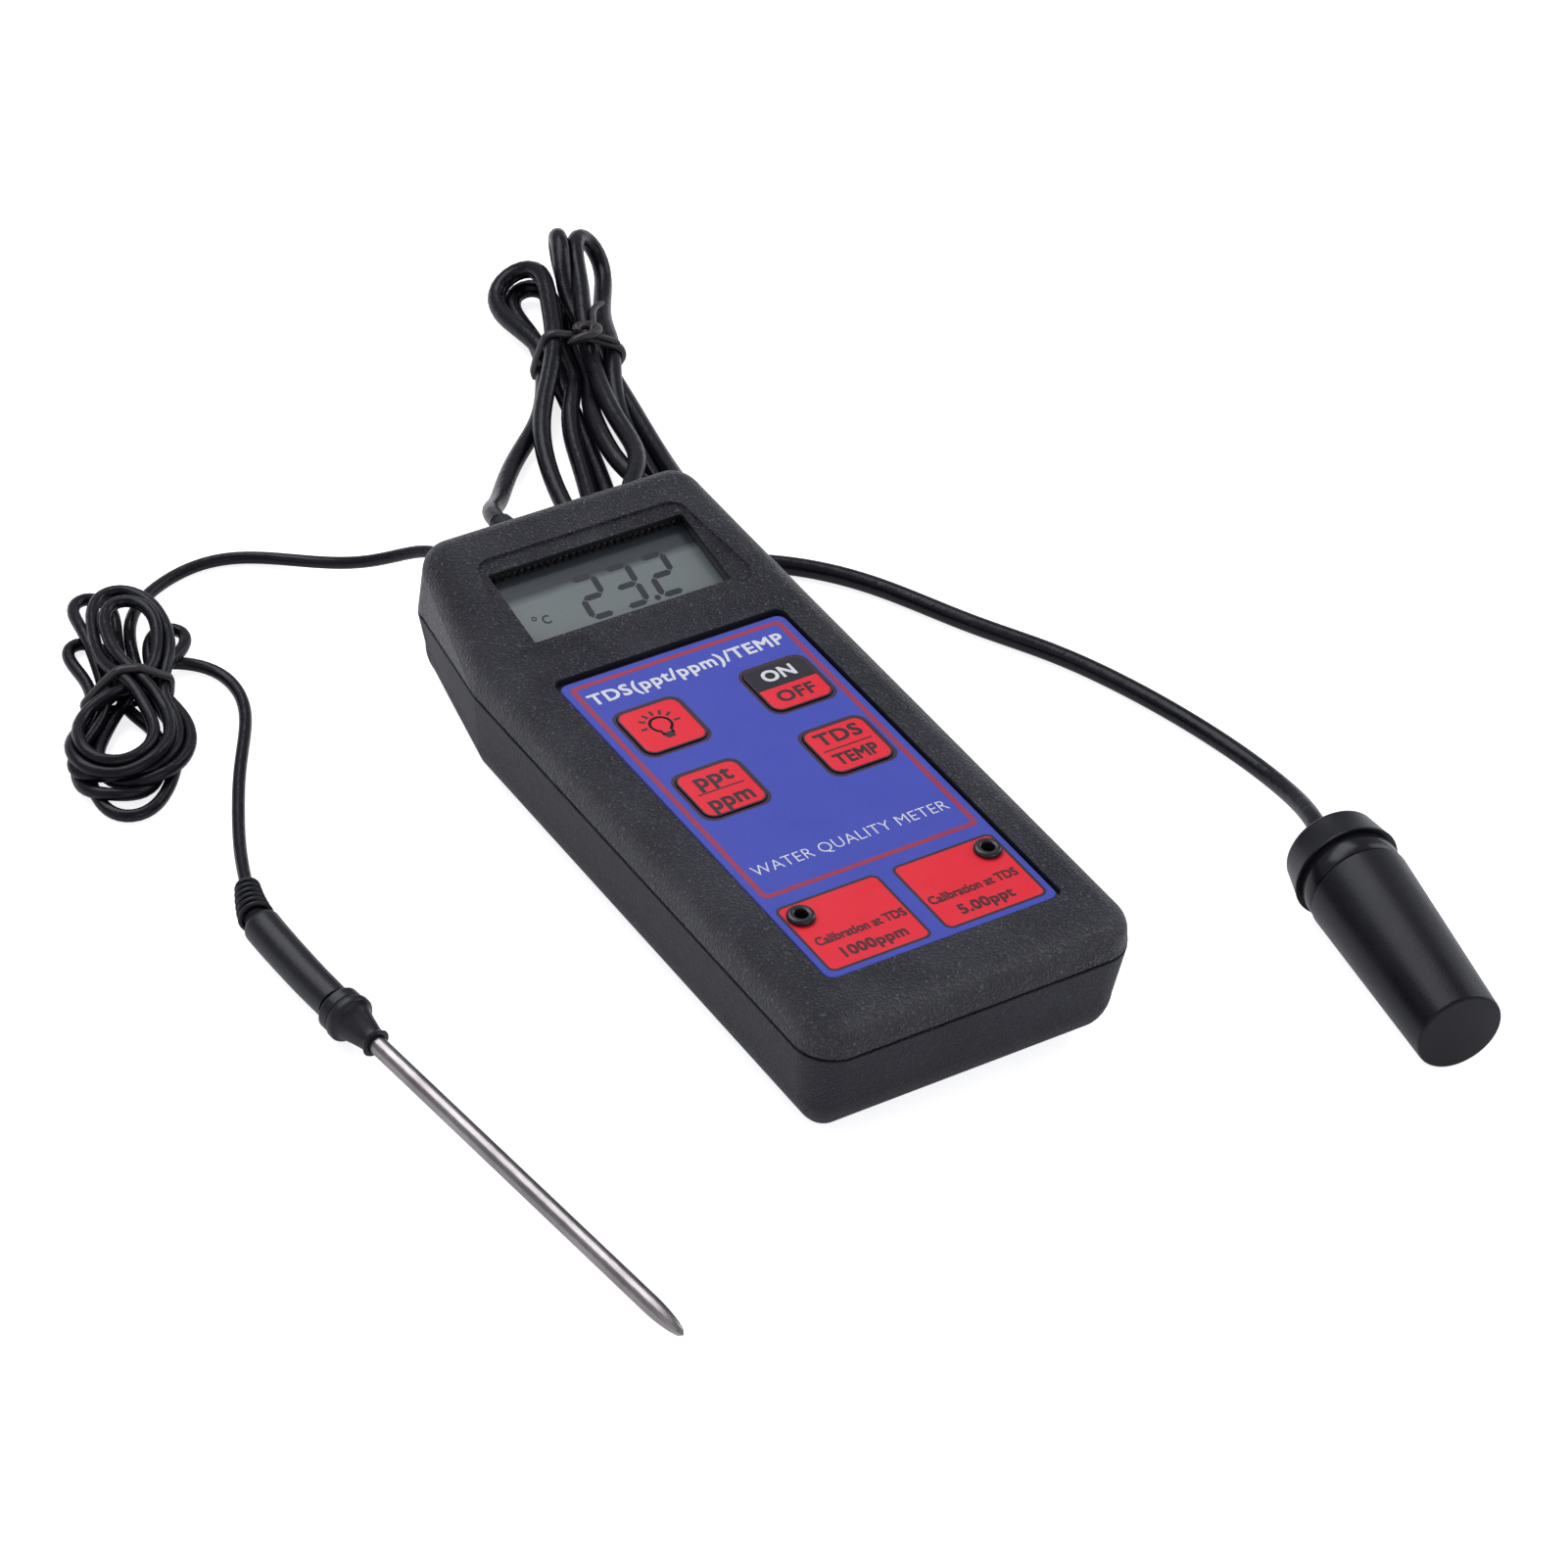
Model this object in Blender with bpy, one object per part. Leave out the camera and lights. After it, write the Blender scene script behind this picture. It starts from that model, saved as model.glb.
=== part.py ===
"""Hand-held water quality meter with a dissolved-solids probe and a needle temperature probe.

The long axis of the meter is Y, its display end points along +Y, the keypad faces +Z and the
origin is on the middle of its flat underside. All sizes are in millimetres; MM turns them into
metres when a mesh is made.
"""
import math

import bmesh
import bpy
from mathutils import Matrix, Vector, geometry

MM = 0.001

# Casing
HALF_WIDTH = 41.0
NEAR_END = -90.0
BEND = 48.4
PART_HEIGHT = 25.4
TOP_HEIGHT = 34.2
HEAD_SLOPE = 0.21
PART_SLOPE = -0.13
PART_TAPER = 0.205
TOP_TAPER = 0.155
FAR_END_PART = 90.3
FAR_END_TOP = 85.8
FAR_END_BASE = 89.1
NEAR_CORNER = 9.0
FAR_CORNER = 7.7
TOP_FILLET = 6.1
BASE_FILLET = 12.0
FRONT_DRAFT = 0.35
REAR_DRAFT = 1.8
SEAM = 0.15
WALL = 2.4
FLOOR = 3.4
CEILING = 3.2
ARC_STEPS = 5

# Running gap kept between neighbouring pieces
GAP = 0.3

# Keypad overlay and what stands in it
OVERLAY_HALF_WIDTH = 28.9
OVERLAY_NEAR = -74.9
OVERLAY_FAR = 34.0
OVERLAY_TOP = 33.6
OVERLAY_THICKNESS = 0.8
OVERLAY_CORNER = 2.2
POCKET_SIDE = 0.7
POCKET_NEAR = 0.5
POCKET_FAR = 1.5
POCKET_FLOOR = 32.5
KEY_WIDTH = 15.6
KEY_LENGTH = 15.2
KEY_CORNER = 2.6
KEY_TOP = 33.95
KEY_TRAVEL = 0.5
KEY_CENTRES = {
    "key_backlight": (-15.7, 12.0),
    "key_range": (-15.7, -12.0),
    "key_power": (16.5, 12.0),
    "key_mode": (16.5, -12.0),
}
TRIMMER_CENTRES = {"low": (-23.4, -55.4), "high": (23.6, -55.4)}

# Circuit board
BOARD_BOTTOM = 24.6
BOARD_THICKNESS = 1.6
BOARD_HALF_WIDTH = 33.0
BOARD_NEAR = -80.0
BOARD_FAR = 42.0

# Casing screws
SCREW_PLACES = ((-23.6, -68.0), (23.6, -68.0), (-23.6, 37.0), (23.6, 37.0))
BOSS_RADIUS = 3.6
SCREW_HEAD_RADIUS = 2.8
SCREW_HEAD_BOTTOM = 1.3
SCREW_HEAD_TOP = 3.2
SCREW_SHANK_RADIUS = 1.4
SCREW_TOP = 28.6

# Display, measured from the bend: along the sloping face, and down into it
WINDOW_HALF_WIDTH = 25.2
WINDOW_NEAR = 0.9
WINDOW_FAR = 22.4

# Battery and its door
BATTERY_HALF_WIDTH = 13.25
BATTERY_NEAR = -73.0
BATTERY_LENGTH = 48.5
BATTERY_BOTTOM = 3.8
BATTERY_THICKNESS = 17.5
DOOR_HALF_WIDTH = 16.7
DOOR_NEAR = -75.5
DOOR_FAR = -18.5
DOOR_BOTTOM = 0.15
DOOR_TOP = 1.7

# Leads
PROBE_LEAD_DIAMETER = 4.4
SENSOR_LEAD_DIAMETER = 2.9
GLAND_HEIGHT = 20.0
PROBE_GLAND_X = 0.0
SENSOR_GLAND_X = -18.0
PROBE_GLAND_TIP = 106.6
SENSOR_GLAND_TIP = 103.0
HANK_BOTTOM = 1.9
PROBE_HANK_TOP = 13.6
SENSOR_HANK_TOP = 9.6

# Dissolved-solids probe: centre of its cable end and of its far end
PROBE_BACK = Vector((107.0, -69.1, 12.75))
PROBE_FRONT = Vector((96.8, -130.0, 10.25))
SLEEVE_START = 14.8

# Needle probe: the path of its soft handle, then the needle's tip
HANDLE_PATH = (
    (-102.2, 38.2, 3.2),
    (-105.0, 31.0, 4.0),
    (-106.6, 23.6, 4.7),
    (-106.5, 6.0, 5.2),
    (-105.9, -6.8, 5.7),
)
COLLAR_START = Vector((-105.8, -7.5, 5.7))
NEEDLE_TIP = Vector((-91.5, -122.4, 2.3))

# Routes of the leads, gland to hank and hank to probe
PROBE_TAIL_ROUTE = (
    (0.0, 107.3, 20.0), (0.8, 113.0, 19.4), (4.5, 122.0, 16.8),
    (11.0, 132.0, 12.8), (18.5, 140.5, 9.4), (26.5, 146.9, 7.9), (32.0, 148.6, 7.7), (37.6, 147.2, 7.7),
)
PROBE_RUN_ROUTE = (
    (52.6, 97.9, 2.6), (55.8, 93.7, 2.4), (61.0, 87.0, 2.4), (68.7, 78.6, 2.4),
    (75.7, 70.5, 2.4), (83.6, 56.4, 2.4), (90.9, 41.9, 2.4), (98.5, 30.5, 2.4), (104.4, 18.9, 2.4),
    (110.8, 1.9, 2.4), (115.2, -14.9, 2.6), (117.5, -31.0, 3.4), (115.8, -45.2, 6.2),
    (112.3, -55.5, 10.0), (109.3, -62.6, 12.2), (107.14, -68.3, 12.75),
)
SENSOR_TAIL_ROUTE = (
    (-18.0, 103.8, 20.0), (-19.2, 109.0, 17.2), (-22.6, 115.4, 12.6), (-27.8, 124.6, 6.6),
    (-35.2, 133.4, 2.9), (-44.7, 141.2, 1.7), (-54.0, 144.6, 1.6), (-62.5, 142.6, 2.4), (-69.6, 137.8, 4.0),
)
SENSOR_RUN_ROUTE = (
    (-73.7, 114.3, 1.8), (-71.9, 110.6, 1.6), (-70.6, 105.3, 1.6),
    (-71.8, 95.4, 1.6), (-76.6, 86.0, 1.6), (-84.0, 74.5, 1.6), (-89.0, 66.6, 1.6),
    (-96.9, 50.9, 2.0), (-101.2, 41.2, 2.9), (-102.1, 38.55, 3.15),
)

# Hanks: a circle at each end and one at the waist, where the tie goes round
PROBE_HANK = ((42.0, 112.0, 17.0), (61.0, 172.0, 11.0), (73.0, 201.0, 20.0))
SENSOR_HANK = ((-84.5, 129.0, 16.5), (-94.0, 108.4, 10.0), (-103.5, 87.5, 16.8))


# ------------------------------------------------------------------ materials

FINISHES = {
    "casing_plastic": ((0.045, 0.046, 0.052), 0.62, 0.0),
    "overlay_print": ((0.085, 0.115, 0.42), 0.38, 0.0),
    "key_red": ((0.80, 0.045, 0.06), 0.36, 0.0),
    "key_black": ((0.02, 0.02, 0.022), 0.40, 0.0),
    "black_trim": ((0.012, 0.012, 0.013), 0.30, 0.0),
    "display_glass": ((0.30, 0.34, 0.32), 0.12, 0.0),
    "backlight_film": ((0.80, 0.82, 0.80), 0.50, 0.0),
    "board_green": ((0.03, 0.22, 0.08), 0.45, 0.0),
    "chip_black": ((0.02, 0.02, 0.02), 0.50, 0.0),
    "bright_steel": ((0.62, 0.60, 0.57), 0.28, 1.0),
    "brass_screw": ((0.72, 0.53, 0.22), 0.30, 1.0),
    "trimmer_blue": ((0.05, 0.16, 0.50), 0.45, 0.0),
    "strip_rubber": ((0.45, 0.45, 0.43), 0.60, 0.0),
    "battery_jacket": ((0.10, 0.11, 0.12), 0.35, 0.0),
    "snap_vinyl": ((0.02, 0.02, 0.02), 0.55, 0.0),
    "probe_plastic": ((0.028, 0.028, 0.030), 0.42, 0.0),
    "electrode_body_grey": ((0.35, 0.35, 0.34), 0.50, 0.0),
    "graphite": ((0.06, 0.06, 0.065), 0.40, 0.3),
    "handle_rubber": ((0.020, 0.020, 0.022), 0.50, 0.0),
    "lead_jacket": ((0.022, 0.022, 0.025), 0.38, 0.0),
    "tie_plastic": ((0.030, 0.028, 0.028), 0.45, 0.0),
}
materials = {}


def finish(name):
    """Return the material of that name, made on first use."""
    if name not in materials:
        colour, roughness, metallic = FINISHES[name]
        material = bpy.data.materials.new(name)
        material.use_nodes = True
        shader = material.node_tree.nodes["Principled BSDF"]
        shader.inputs["Base Color"].default_value = (*colour, 1.0)
        shader.inputs["Roughness"].default_value = roughness
        shader.inputs["Metallic"].default_value = metallic
        materials[name] = material
    return materials[name]


# ------------------------------------------------------------------ mesh tools

def clear_scene():
    for thing in list(bpy.data.objects):
        bpy.data.objects.remove(thing, do_unlink=True)


def mesh_object(name, points, faces, slot, smooth=False):
    """Make a closed mesh from points in millimetres, with its faces pointing outwards."""
    mesh = bpy.data.meshes.new(name)
    mesh.from_pydata([Vector(point) * MM for point in points], [], faces)
    work = bmesh.new()
    work.from_mesh(mesh)
    bmesh.ops.recalc_face_normals(work, faces=work.faces)
    work.to_mesh(mesh)
    work.free()
    mesh.materials.append(finish(slot))
    thing = bpy.data.objects.new(name, mesh)
    bpy.context.scene.collection.objects.link(thing)
    if smooth:
        mesh.shade_smooth()
        mesh.set_sharp_from_angle(angle=math.radians(35.0))
    return thing


def place(thing, matrix):
    """Move a mesh made at the origin by a matrix in millimetres."""
    scaled = matrix.copy()
    scaled.translation = matrix.translation * MM
    thing.data.transform(scaled)
    return thing


def boolean(target, tool, operation="DIFFERENCE"):
    """Join a tool to the target, or cut it out of it, and remove the tool."""
    modifier = target.modifiers.new(operation.lower(), "BOOLEAN")
    modifier.object = tool
    modifier.operation = operation
    modifier.solver = "EXACT"
    bpy.context.view_layer.update()
    result = bpy.data.meshes.new_from_object(target.evaluated_get(bpy.context.evaluated_depsgraph_get()))
    target.modifiers.clear()
    old = target.data
    target.data = result
    bpy.data.meshes.remove(old)
    bpy.data.objects.remove(tool, do_unlink=True)
    return target


def side_faces(start, count, levels):
    """Quads between stacked rings of count points each."""
    faces = []
    for level in range(levels - 1):
        low = start + level * count
        for i in range(count):
            j = (i + 1) % count
            faces.append((low + i, low + j, low + count + j, low + count + i))
    return faces


def stack(name, rings, slot, smooth=False):
    """Solid through a stack of rings, closed by a flat face at each end."""
    count = len(rings[0])
    points = [point for ring in rings for point in ring]
    faces = side_faces(0, count, len(rings))
    faces.append(tuple(range(count)))
    faces.append(tuple(range(len(points) - count, len(points))))
    return mesh_object(name, points, faces, slot, smooth)


def box(name, low, high, slot):
    """Box between its lowest and highest corners."""
    outline = ((low[0], low[1]), (high[0], low[1]), (high[0], high[1]), (low[0], high[1]))
    return stack(name, [[(x, y, z) for x, y in outline] for z in (low[2], high[2])], slot)


def rounded_outline(x_low, y_low, x_high, y_high, radius, steps=4):
    """Rectangle with round corners, as points in order."""
    corners = (
        (x_high - radius, y_high - radius, 0.0),
        (x_low + radius, y_high - radius, 90.0),
        (x_low + radius, y_low + radius, 180.0),
        (x_high - radius, y_low + radius, 270.0),
    )
    points = []
    for x, y, start in corners:
        for step in range(steps + 1):
            angle = math.radians(start + 90.0 * step / steps)
            points.append((x + radius * math.cos(angle), y + radius * math.sin(angle)))
    return points


def plate(name, outline, bottom, top, slot):
    """Flat piece with the given outline."""
    return stack(name, [[(x, y, z) for x, y in outline] for z in (bottom, top)], slot)


def chamfered_plate(name, x_low, y_low, x_high, y_high, radius, bottom, top, chamfer, slot):
    """Round-cornered plate whose top edge is broken all round."""
    full = rounded_outline(x_low, y_low, x_high, y_high, radius)
    inner = rounded_outline(x_low + chamfer, y_low + chamfer, x_high - chamfer, y_high - chamfer,
                            radius - chamfer)
    rings = [
        [(x, y, bottom) for x, y in full],
        [(x, y, top - chamfer) for x, y in full],
        [(x, y, top) for x, y in inner],
    ]
    return stack(name, rings, slot)


def turned(name, profile, slot, sides=24):
    """Solid of revolution about Z from (radius, height) pairs, bottom to top."""
    rings = []
    for radius, height in profile:
        ring = []
        for side in range(sides):
            angle = 2.0 * math.pi * side / sides
            ring.append((radius * math.cos(angle), radius * math.sin(angle), height))
        rings.append(ring)
    return stack(name, rings, slot, smooth=True)


def post(name, x, y, bottom, top, radius, slot, sides=16):
    """Upright round post."""
    return place(turned(name, ((radius, bottom), (radius, top)), slot, sides), Matrix.Translation((x, y, 0.0)))


def axis_matrix(start, end):
    """Matrix that puts +Z along the line from start to end, with its origin at start."""
    direction = Vector(end) - Vector(start)
    return Matrix.Translation(start) @ direction.to_track_quat("Z", "Y").to_matrix().to_4x4()


# ------------------------------------------------------------------ casing

def casing_ring(half_width, near, height, slope, taper, far, near_corner, far_corner):
    """One level of the casing: straight sides up to the bend, then a narrowing head."""
    far_half = half_width - taper * (far - BEND)
    far_centre_x = far_half - far_corner + taper * far_corner
    corners = (
        (-half_width + near_corner, near + near_corner, near_corner, 180.0),
        (half_width - near_corner, near + near_corner, near_corner, 270.0),
        (far_centre_x, far - far_corner, far_corner, 0.0),
        (-far_centre_x, far - far_corner, far_corner, 90.0),
    )
    points = [(-half_width, BEND)]
    for number, (x, y, radius, start) in enumerate(corners):
        for step in range(ARC_STEPS + 1):
            angle = math.radians(start + 90.0 * step / ARC_STEPS)
            points.append((x + radius * math.cos(angle), y + radius * math.sin(angle)))
        if number == 1:
            points.append((half_width, BEND))
    return [(x, y, height + slope * max(0.0, y - BEND)) for x, y in points]


def parting_ring(inset, shift):
    """Ring at the parting line, moved in by inset and up by shift."""
    return casing_ring(HALF_WIDTH - inset, NEAR_END + inset, PART_HEIGHT + shift, PART_SLOPE, PART_TAPER,
                       FAR_END_PART - inset, NEAR_CORNER - min(inset, 4.0), FAR_CORNER - min(inset, 4.0))


def front_outer_rings():
    """Outside of the front shell, from the parting line over the top fillet."""
    rings = [parting_ring(0.0, SEAM)]
    for step in range(ARC_STEPS + 1):
        angle = math.radians(90.0 * (1.0 - step / ARC_STEPS))
        inward = TOP_FILLET * (1.0 - math.cos(math.pi / 2.0 - angle))
        height = TOP_HEIGHT - TOP_FILLET * (1.0 - math.sin(math.pi / 2.0 - angle))
        offset = FRONT_DRAFT + inward
        rings.append(casing_ring(HALF_WIDTH - offset, NEAR_END + offset, height, HEAD_SLOPE, TOP_TAPER,
                                 FAR_END_TOP - inward, NEAR_CORNER - offset, FAR_CORNER - inward))
    return rings


def front_inner_rings():
    """Inside of the front shell, from the parting line up to the ceiling."""
    ceiling = TOP_HEIGHT - CEILING
    return [
        parting_ring(WALL, SEAM),
        casing_ring(38.0, NEAR_END + 3.0, ceiling - 2.5, HEAD_SLOPE, TOP_TAPER, FAR_END_TOP - 2.6, 5.0, 4.6),
        casing_ring(35.8, NEAR_END + 5.2, ceiling, HEAD_SLOPE, TOP_TAPER, FAR_END_TOP - 5.0, 3.6, 3.4),
    ]


def rear_outer_rings():
    """Outside of the rear shell, from the parting line down round the base fillet."""
    rings = [parting_ring(0.0, -SEAM)]
    for step in range(ARC_STEPS + 1):
        angle = math.radians(90.0 * step / ARC_STEPS)
        inward = BASE_FILLET * (1.0 - math.cos(angle))
        offset = REAR_DRAFT + inward
        height = BASE_FILLET * (1.0 - math.sin(angle))
        rings.append(casing_ring(HALF_WIDTH - offset, NEAR_END + offset, height, 0.0, PART_TAPER,
                                 FAR_END_BASE - inward, max(NEAR_CORNER - offset, 1.2),
                                 max(FAR_CORNER - inward, 1.2)))
    return rings


def rear_inner_rings():
    """Inside of the rear shell, from the parting line down to the floor."""
    return [
        parting_ring(WALL, -SEAM),
        casing_ring(36.6, NEAR_END + 4.4, 12.0, 0.0, PART_TAPER, FAR_END_BASE - 3.6, 5.0, 4.2),
        casing_ring(34.2, NEAR_END + 6.8, 7.0, 0.0, PART_TAPER, FAR_END_BASE - 6.0, 3.2, 3.0),
        casing_ring(28.5, NEAR_END + 12.5, FLOOR, 0.0, PART_TAPER, FAR_END_BASE - 11.5, 1.6, 1.6),
    ]


def shell(name, outer, inner, slot):
    """Open tray between an outer and an inner stack of rings that both start at the rim."""
    count = len(outer[0])
    points = [point for ring in outer + inner for point in ring]
    inner_start = len(outer) * count
    faces = side_faces(0, count, len(outer)) + side_faces(inner_start, count, len(inner))
    for i in range(count):
        j = (i + 1) % count
        faces.append((i, j, inner_start + j, inner_start + i))
    near_count = 2 * (ARC_STEPS + 1) + 2
    for last in (inner_start - count, len(points) - count):
        faces.append(tuple(last + i for i in range(near_count)))
        faces.append(tuple(last + i for i in list(range(near_count - 1, count)) + [0]))
    return mesh_object(name, points, faces, slot, smooth=True)


def face_matrix():
    """Frame on the sloping head: X across, Y up the slope from the bend, Z out of the face."""
    slope = math.atan(HEAD_SLOPE)
    return Matrix.Translation((0.0, BEND, TOP_HEIGHT)) @ Matrix.Rotation(slope, 4, "X")


def gland_hole(x, radius):
    """Cutter for a lead's gland, through the far wall at the parting line."""
    hole = turned("gland_hole", ((radius, 0.0), (radius, 30.0)), "black_trim", 20)
    return place(hole, axis_matrix((x, 74.0, GLAND_HEIGHT), (x, 110.0, GLAND_HEIGHT)))


def front_casing():
    casing = shell("front_casing", front_outer_rings(), front_inner_rings(), "casing_plastic")
    pocket = rounded_outline(-OVERLAY_HALF_WIDTH - POCKET_SIDE, OVERLAY_NEAR - POCKET_NEAR,
                             OVERLAY_HALF_WIDTH + POCKET_SIDE, OVERLAY_FAR + POCKET_FAR, OVERLAY_CORNER)
    boolean(casing, plate("pocket", pocket, POCKET_FLOOR, TOP_HEIGHT + 2.0, "casing_plastic"))
    for x, y in KEY_CENTRES.values():
        boolean(casing, post("stem_hole", x, y, 28.0, 36.0, 3.2, "casing_plastic"))
    for x, y in TRIMMER_CENTRES.values():
        boolean(casing, post("bushing_hole", x, y, 28.0, 36.0, 2.6, "casing_plastic"))
    window = box("window", (-WINDOW_HALF_WIDTH, WINDOW_NEAR, -9.0), (WINDOW_HALF_WIDTH, WINDOW_FAR, 4.0),
                 "casing_plastic")
    boolean(casing, place(window, face_matrix()))
    stack_room = box("stack_room", (-30.5, -3.0, -14.0), (30.5, 28.0, -2.2), "casing_plastic")
    boolean(casing, place(stack_room, face_matrix()))
    boolean(casing, display_step())
    for x, y in SCREW_PLACES:
        boolean(casing, post("post", x, y, 22.3, 31.6, BOSS_RADIUS, "casing_plastic"), "UNION")
        boolean(casing, post("pilot", x, y, 20.0, 29.6, SCREW_SHANK_RADIUS + GAP, "casing_plastic", 12))
    boolean(casing, gland_hole(PROBE_GLAND_X, 4.0))
    boolean(casing, gland_hole(SENSOR_GLAND_X, 3.0))
    return casing


def display_step():
    """Cutter for the shallow panel round the display, which fades out at the bend."""
    near_half, far_half, near, far, corner = 31.2, 27.0, -1.0, 26.4, 4.0
    outline = []
    for x, y, start in ((far_half - corner, far - corner, 0.0), (-far_half + corner, far - corner, 90.0)):
        for step in range(ARC_STEPS + 1):
            angle = math.radians(start + 90.0 * step / ARC_STEPS)
            outline.append((x + corner * math.cos(angle), y + corner * math.sin(angle)))
    for x, y, start in ((-near_half + corner, near + corner, 180.0), (near_half - corner, near + corner, 270.0)):
        for step in range(ARC_STEPS + 1):
            angle = math.radians(start + 90.0 * step / ARC_STEPS)
            outline.append((x + corner * math.cos(angle), y + corner * math.sin(angle)))
    step_block = plate("display_step", outline, 0.0, 6.0, "casing_plastic")
    tilt = Matrix.Translation((0.0, 0.0, -0.12)) @ Matrix.Rotation(math.radians(-1.1), 4, "X")
    return place(step_block, face_matrix() @ tilt)


def rear_casing():
    casing = shell("rear_casing", rear_outer_rings(), rear_inner_rings(), "casing_plastic")
    for side in (-1.0, 1.0):
        rail = box("rail", (min(side * 30.0, side * 32.0), -62.0, 2.6), (max(side * 30.0, side * 32.0), 30.0, 24.3),
                   "casing_plastic")
        boolean(casing, rail, "UNION")
        wall = box("wall", (min(side * 14.2, side * 15.8), -75.5, 2.6), (max(side * 14.2, side * 15.8), -19.0, 17.0),
                   "casing_plastic")
        boolean(casing, wall, "UNION")
    for x, y in SCREW_PLACES:
        boolean(casing, post("boss", x, y, 2.6, 22.0, BOSS_RADIUS, "casing_plastic"), "UNION")
        boolean(casing, post("shank_hole", x, y, -2.0, 24.0, SCREW_SHANK_RADIUS + GAP, "casing_plastic", 12))
        boolean(casing, post("head_hole", x, y, -2.0, SCREW_HEAD_TOP + GAP, SCREW_HEAD_RADIUS + GAP,
                             "casing_plastic"))
    channel = box("channel", (-DOOR_HALF_WIDTH - GAP, NEAR_END - 3.0, -2.0),
                  (DOOR_HALF_WIDTH + GAP, DOOR_FAR + GAP, DOOR_TOP + GAP), "casing_plastic")
    boolean(casing, channel)
    mouth = box("mouth", (-13.7, -73.5, 0.0), (13.7, -20.0, 8.0), "casing_plastic")
    boolean(casing, mouth)
    boolean(casing, gland_hole(PROBE_GLAND_X, 4.0))
    boolean(casing, gland_hole(SENSOR_GLAND_X, 3.0))
    return casing


def battery_door():
    door = plate("battery_door", rounded_outline(-DOOR_HALF_WIDTH, DOOR_NEAR, DOOR_HALF_WIDTH, DOOR_FAR, 1.5),
                 DOOR_BOTTOM, DOOR_TOP, "casing_plastic")
    for row in range(4):
        y = DOOR_NEAR + 5.0 + 2.4 * row
        groove = box("groove", (-8.0, y, DOOR_BOTTOM - 1.0), (8.0, y + 1.0, DOOR_BOTTOM + 0.6), "casing_plastic")
        boolean(door, groove)
    return door


def casing_screws():
    """Round-headed screws that go up through the rear bosses into the front posts."""
    for number, (x, y) in enumerate(SCREW_PLACES, 1):
        profile = (
            (SCREW_HEAD_RADIUS - 0.5, SCREW_HEAD_BOTTOM),
            (SCREW_HEAD_RADIUS, SCREW_HEAD_BOTTOM + 0.6),
            (SCREW_HEAD_RADIUS, SCREW_HEAD_TOP),
            (SCREW_SHANK_RADIUS, SCREW_HEAD_TOP),
            (SCREW_SHANK_RADIUS, SCREW_TOP - 1.0),
            (0.5, SCREW_TOP),
        )
        screw = turned(f"casing_screw_{number}", profile, "bright_steel", 16)
        for turn in (0.0, 90.0):
            slot = box("slot", (-1.6, -0.3, 0.0), (1.6, 0.3, SCREW_HEAD_BOTTOM + 0.9), "bright_steel")
            boolean(screw, place(slot, Matrix.Rotation(math.radians(turn), 4, "Z")))
        place(screw, Matrix.Translation((x, y, 0.0)))


# ------------------------------------------------------------------ keypad

def keypad_overlay():
    overlay = chamfered_plate("keypad_overlay", -OVERLAY_HALF_WIDTH, OVERLAY_NEAR, OVERLAY_HALF_WIDTH, OVERLAY_FAR,
                              OVERLAY_CORNER, OVERLAY_TOP - OVERLAY_THICKNESS, OVERLAY_TOP, 0.2, "overlay_print")
    half_width = KEY_WIDTH / 2.0 + GAP
    half_length = KEY_LENGTH / 2.0 + GAP
    for x, y in KEY_CENTRES.values():
        outline = rounded_outline(x - half_width, y - half_length, x + half_width, y + half_length, KEY_CORNER + GAP)
        boolean(overlay, plate("key_hole", outline, 30.0, 36.0, "overlay_print"))
    for x, y in TRIMMER_CENTRES.values():
        boolean(overlay, post("bushing_hole", x, y, 30.0, 36.0, 2.6, "overlay_print"))
    return overlay


def keys():
    """Key caps, each with a stem that reaches down to its switch."""
    for name, (x, y) in KEY_CENTRES.items():
        slot = "key_black" if name == "key_power" else "key_red"
        cap = chamfered_plate(name, -KEY_WIDTH / 2.0, -KEY_LENGTH / 2.0, KEY_WIDTH / 2.0, KEY_LENGTH / 2.0,
                              KEY_CORNER, POCKET_FLOOR + KEY_TRAVEL + 0.1, KEY_TOP, 0.3, slot)
        boolean(cap, post("stem", 0.0, 0.0, 30.4, POCKET_FLOOR + KEY_TRAVEL + 0.3, 2.6, slot), "UNION")
        cap.location = (x * MM, y * MM, 0.0)
        base = BOARD_BOTTOM + BOARD_THICKNESS + GAP / 2.0
        switch = box("switch_" + name[4:], (x - 3.0, y - 3.0, base), (x + 3.0, y + 3.0, base + 2.4), "chip_black")
        boolean(switch, post("plunger", x, y, base + 2.0, 29.7, 1.7, "chip_black", 12), "UNION")


def calibration_trimmers():
    """Trimmers on the board and the bushings through which a screwdriver reaches them."""
    base = BOARD_BOTTOM + BOARD_THICKNESS + GAP / 2.0
    for level, (x, y) in TRIMMER_CENTRES.items():
        body = box(f"trimmer_{level}", (x - 3.2, y - 3.2, base), (x + 3.2, y + 3.2, 29.4), "trimmer_blue")
        boolean(body, post("socket", x, y, 27.6, 31.0, 1.7, "trimmer_blue", 20))
        screw = turned(f"trimmer_screw_{level}", ((1.4, 27.9), (1.4, 29.7), (1.2, 29.9)), "brass_screw", 20)
        boolean(screw, box("slot", (-2.0, -0.25, 29.3), (2.0, 0.25, 31.0), "brass_screw"))
        screw.location = (x * MM, y * MM, 0.0)
        top = OVERLAY_TOP + GAP / 2.0
        profile = ((2.3, 30.6), (2.3, top), (3.1, top), (3.1, top + 0.7), (2.75, top + 1.1))
        bushing = turned(f"trimmer_bushing_{level}", profile, "black_trim")
        boolean(bushing, post("bore", 0.0, 0.0, 29.0, 37.0, 1.5, "black_trim", 20))
        place(bushing, Matrix.Translation((x, y, 0.0)))


# ------------------------------------------------------------------ inside

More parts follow.
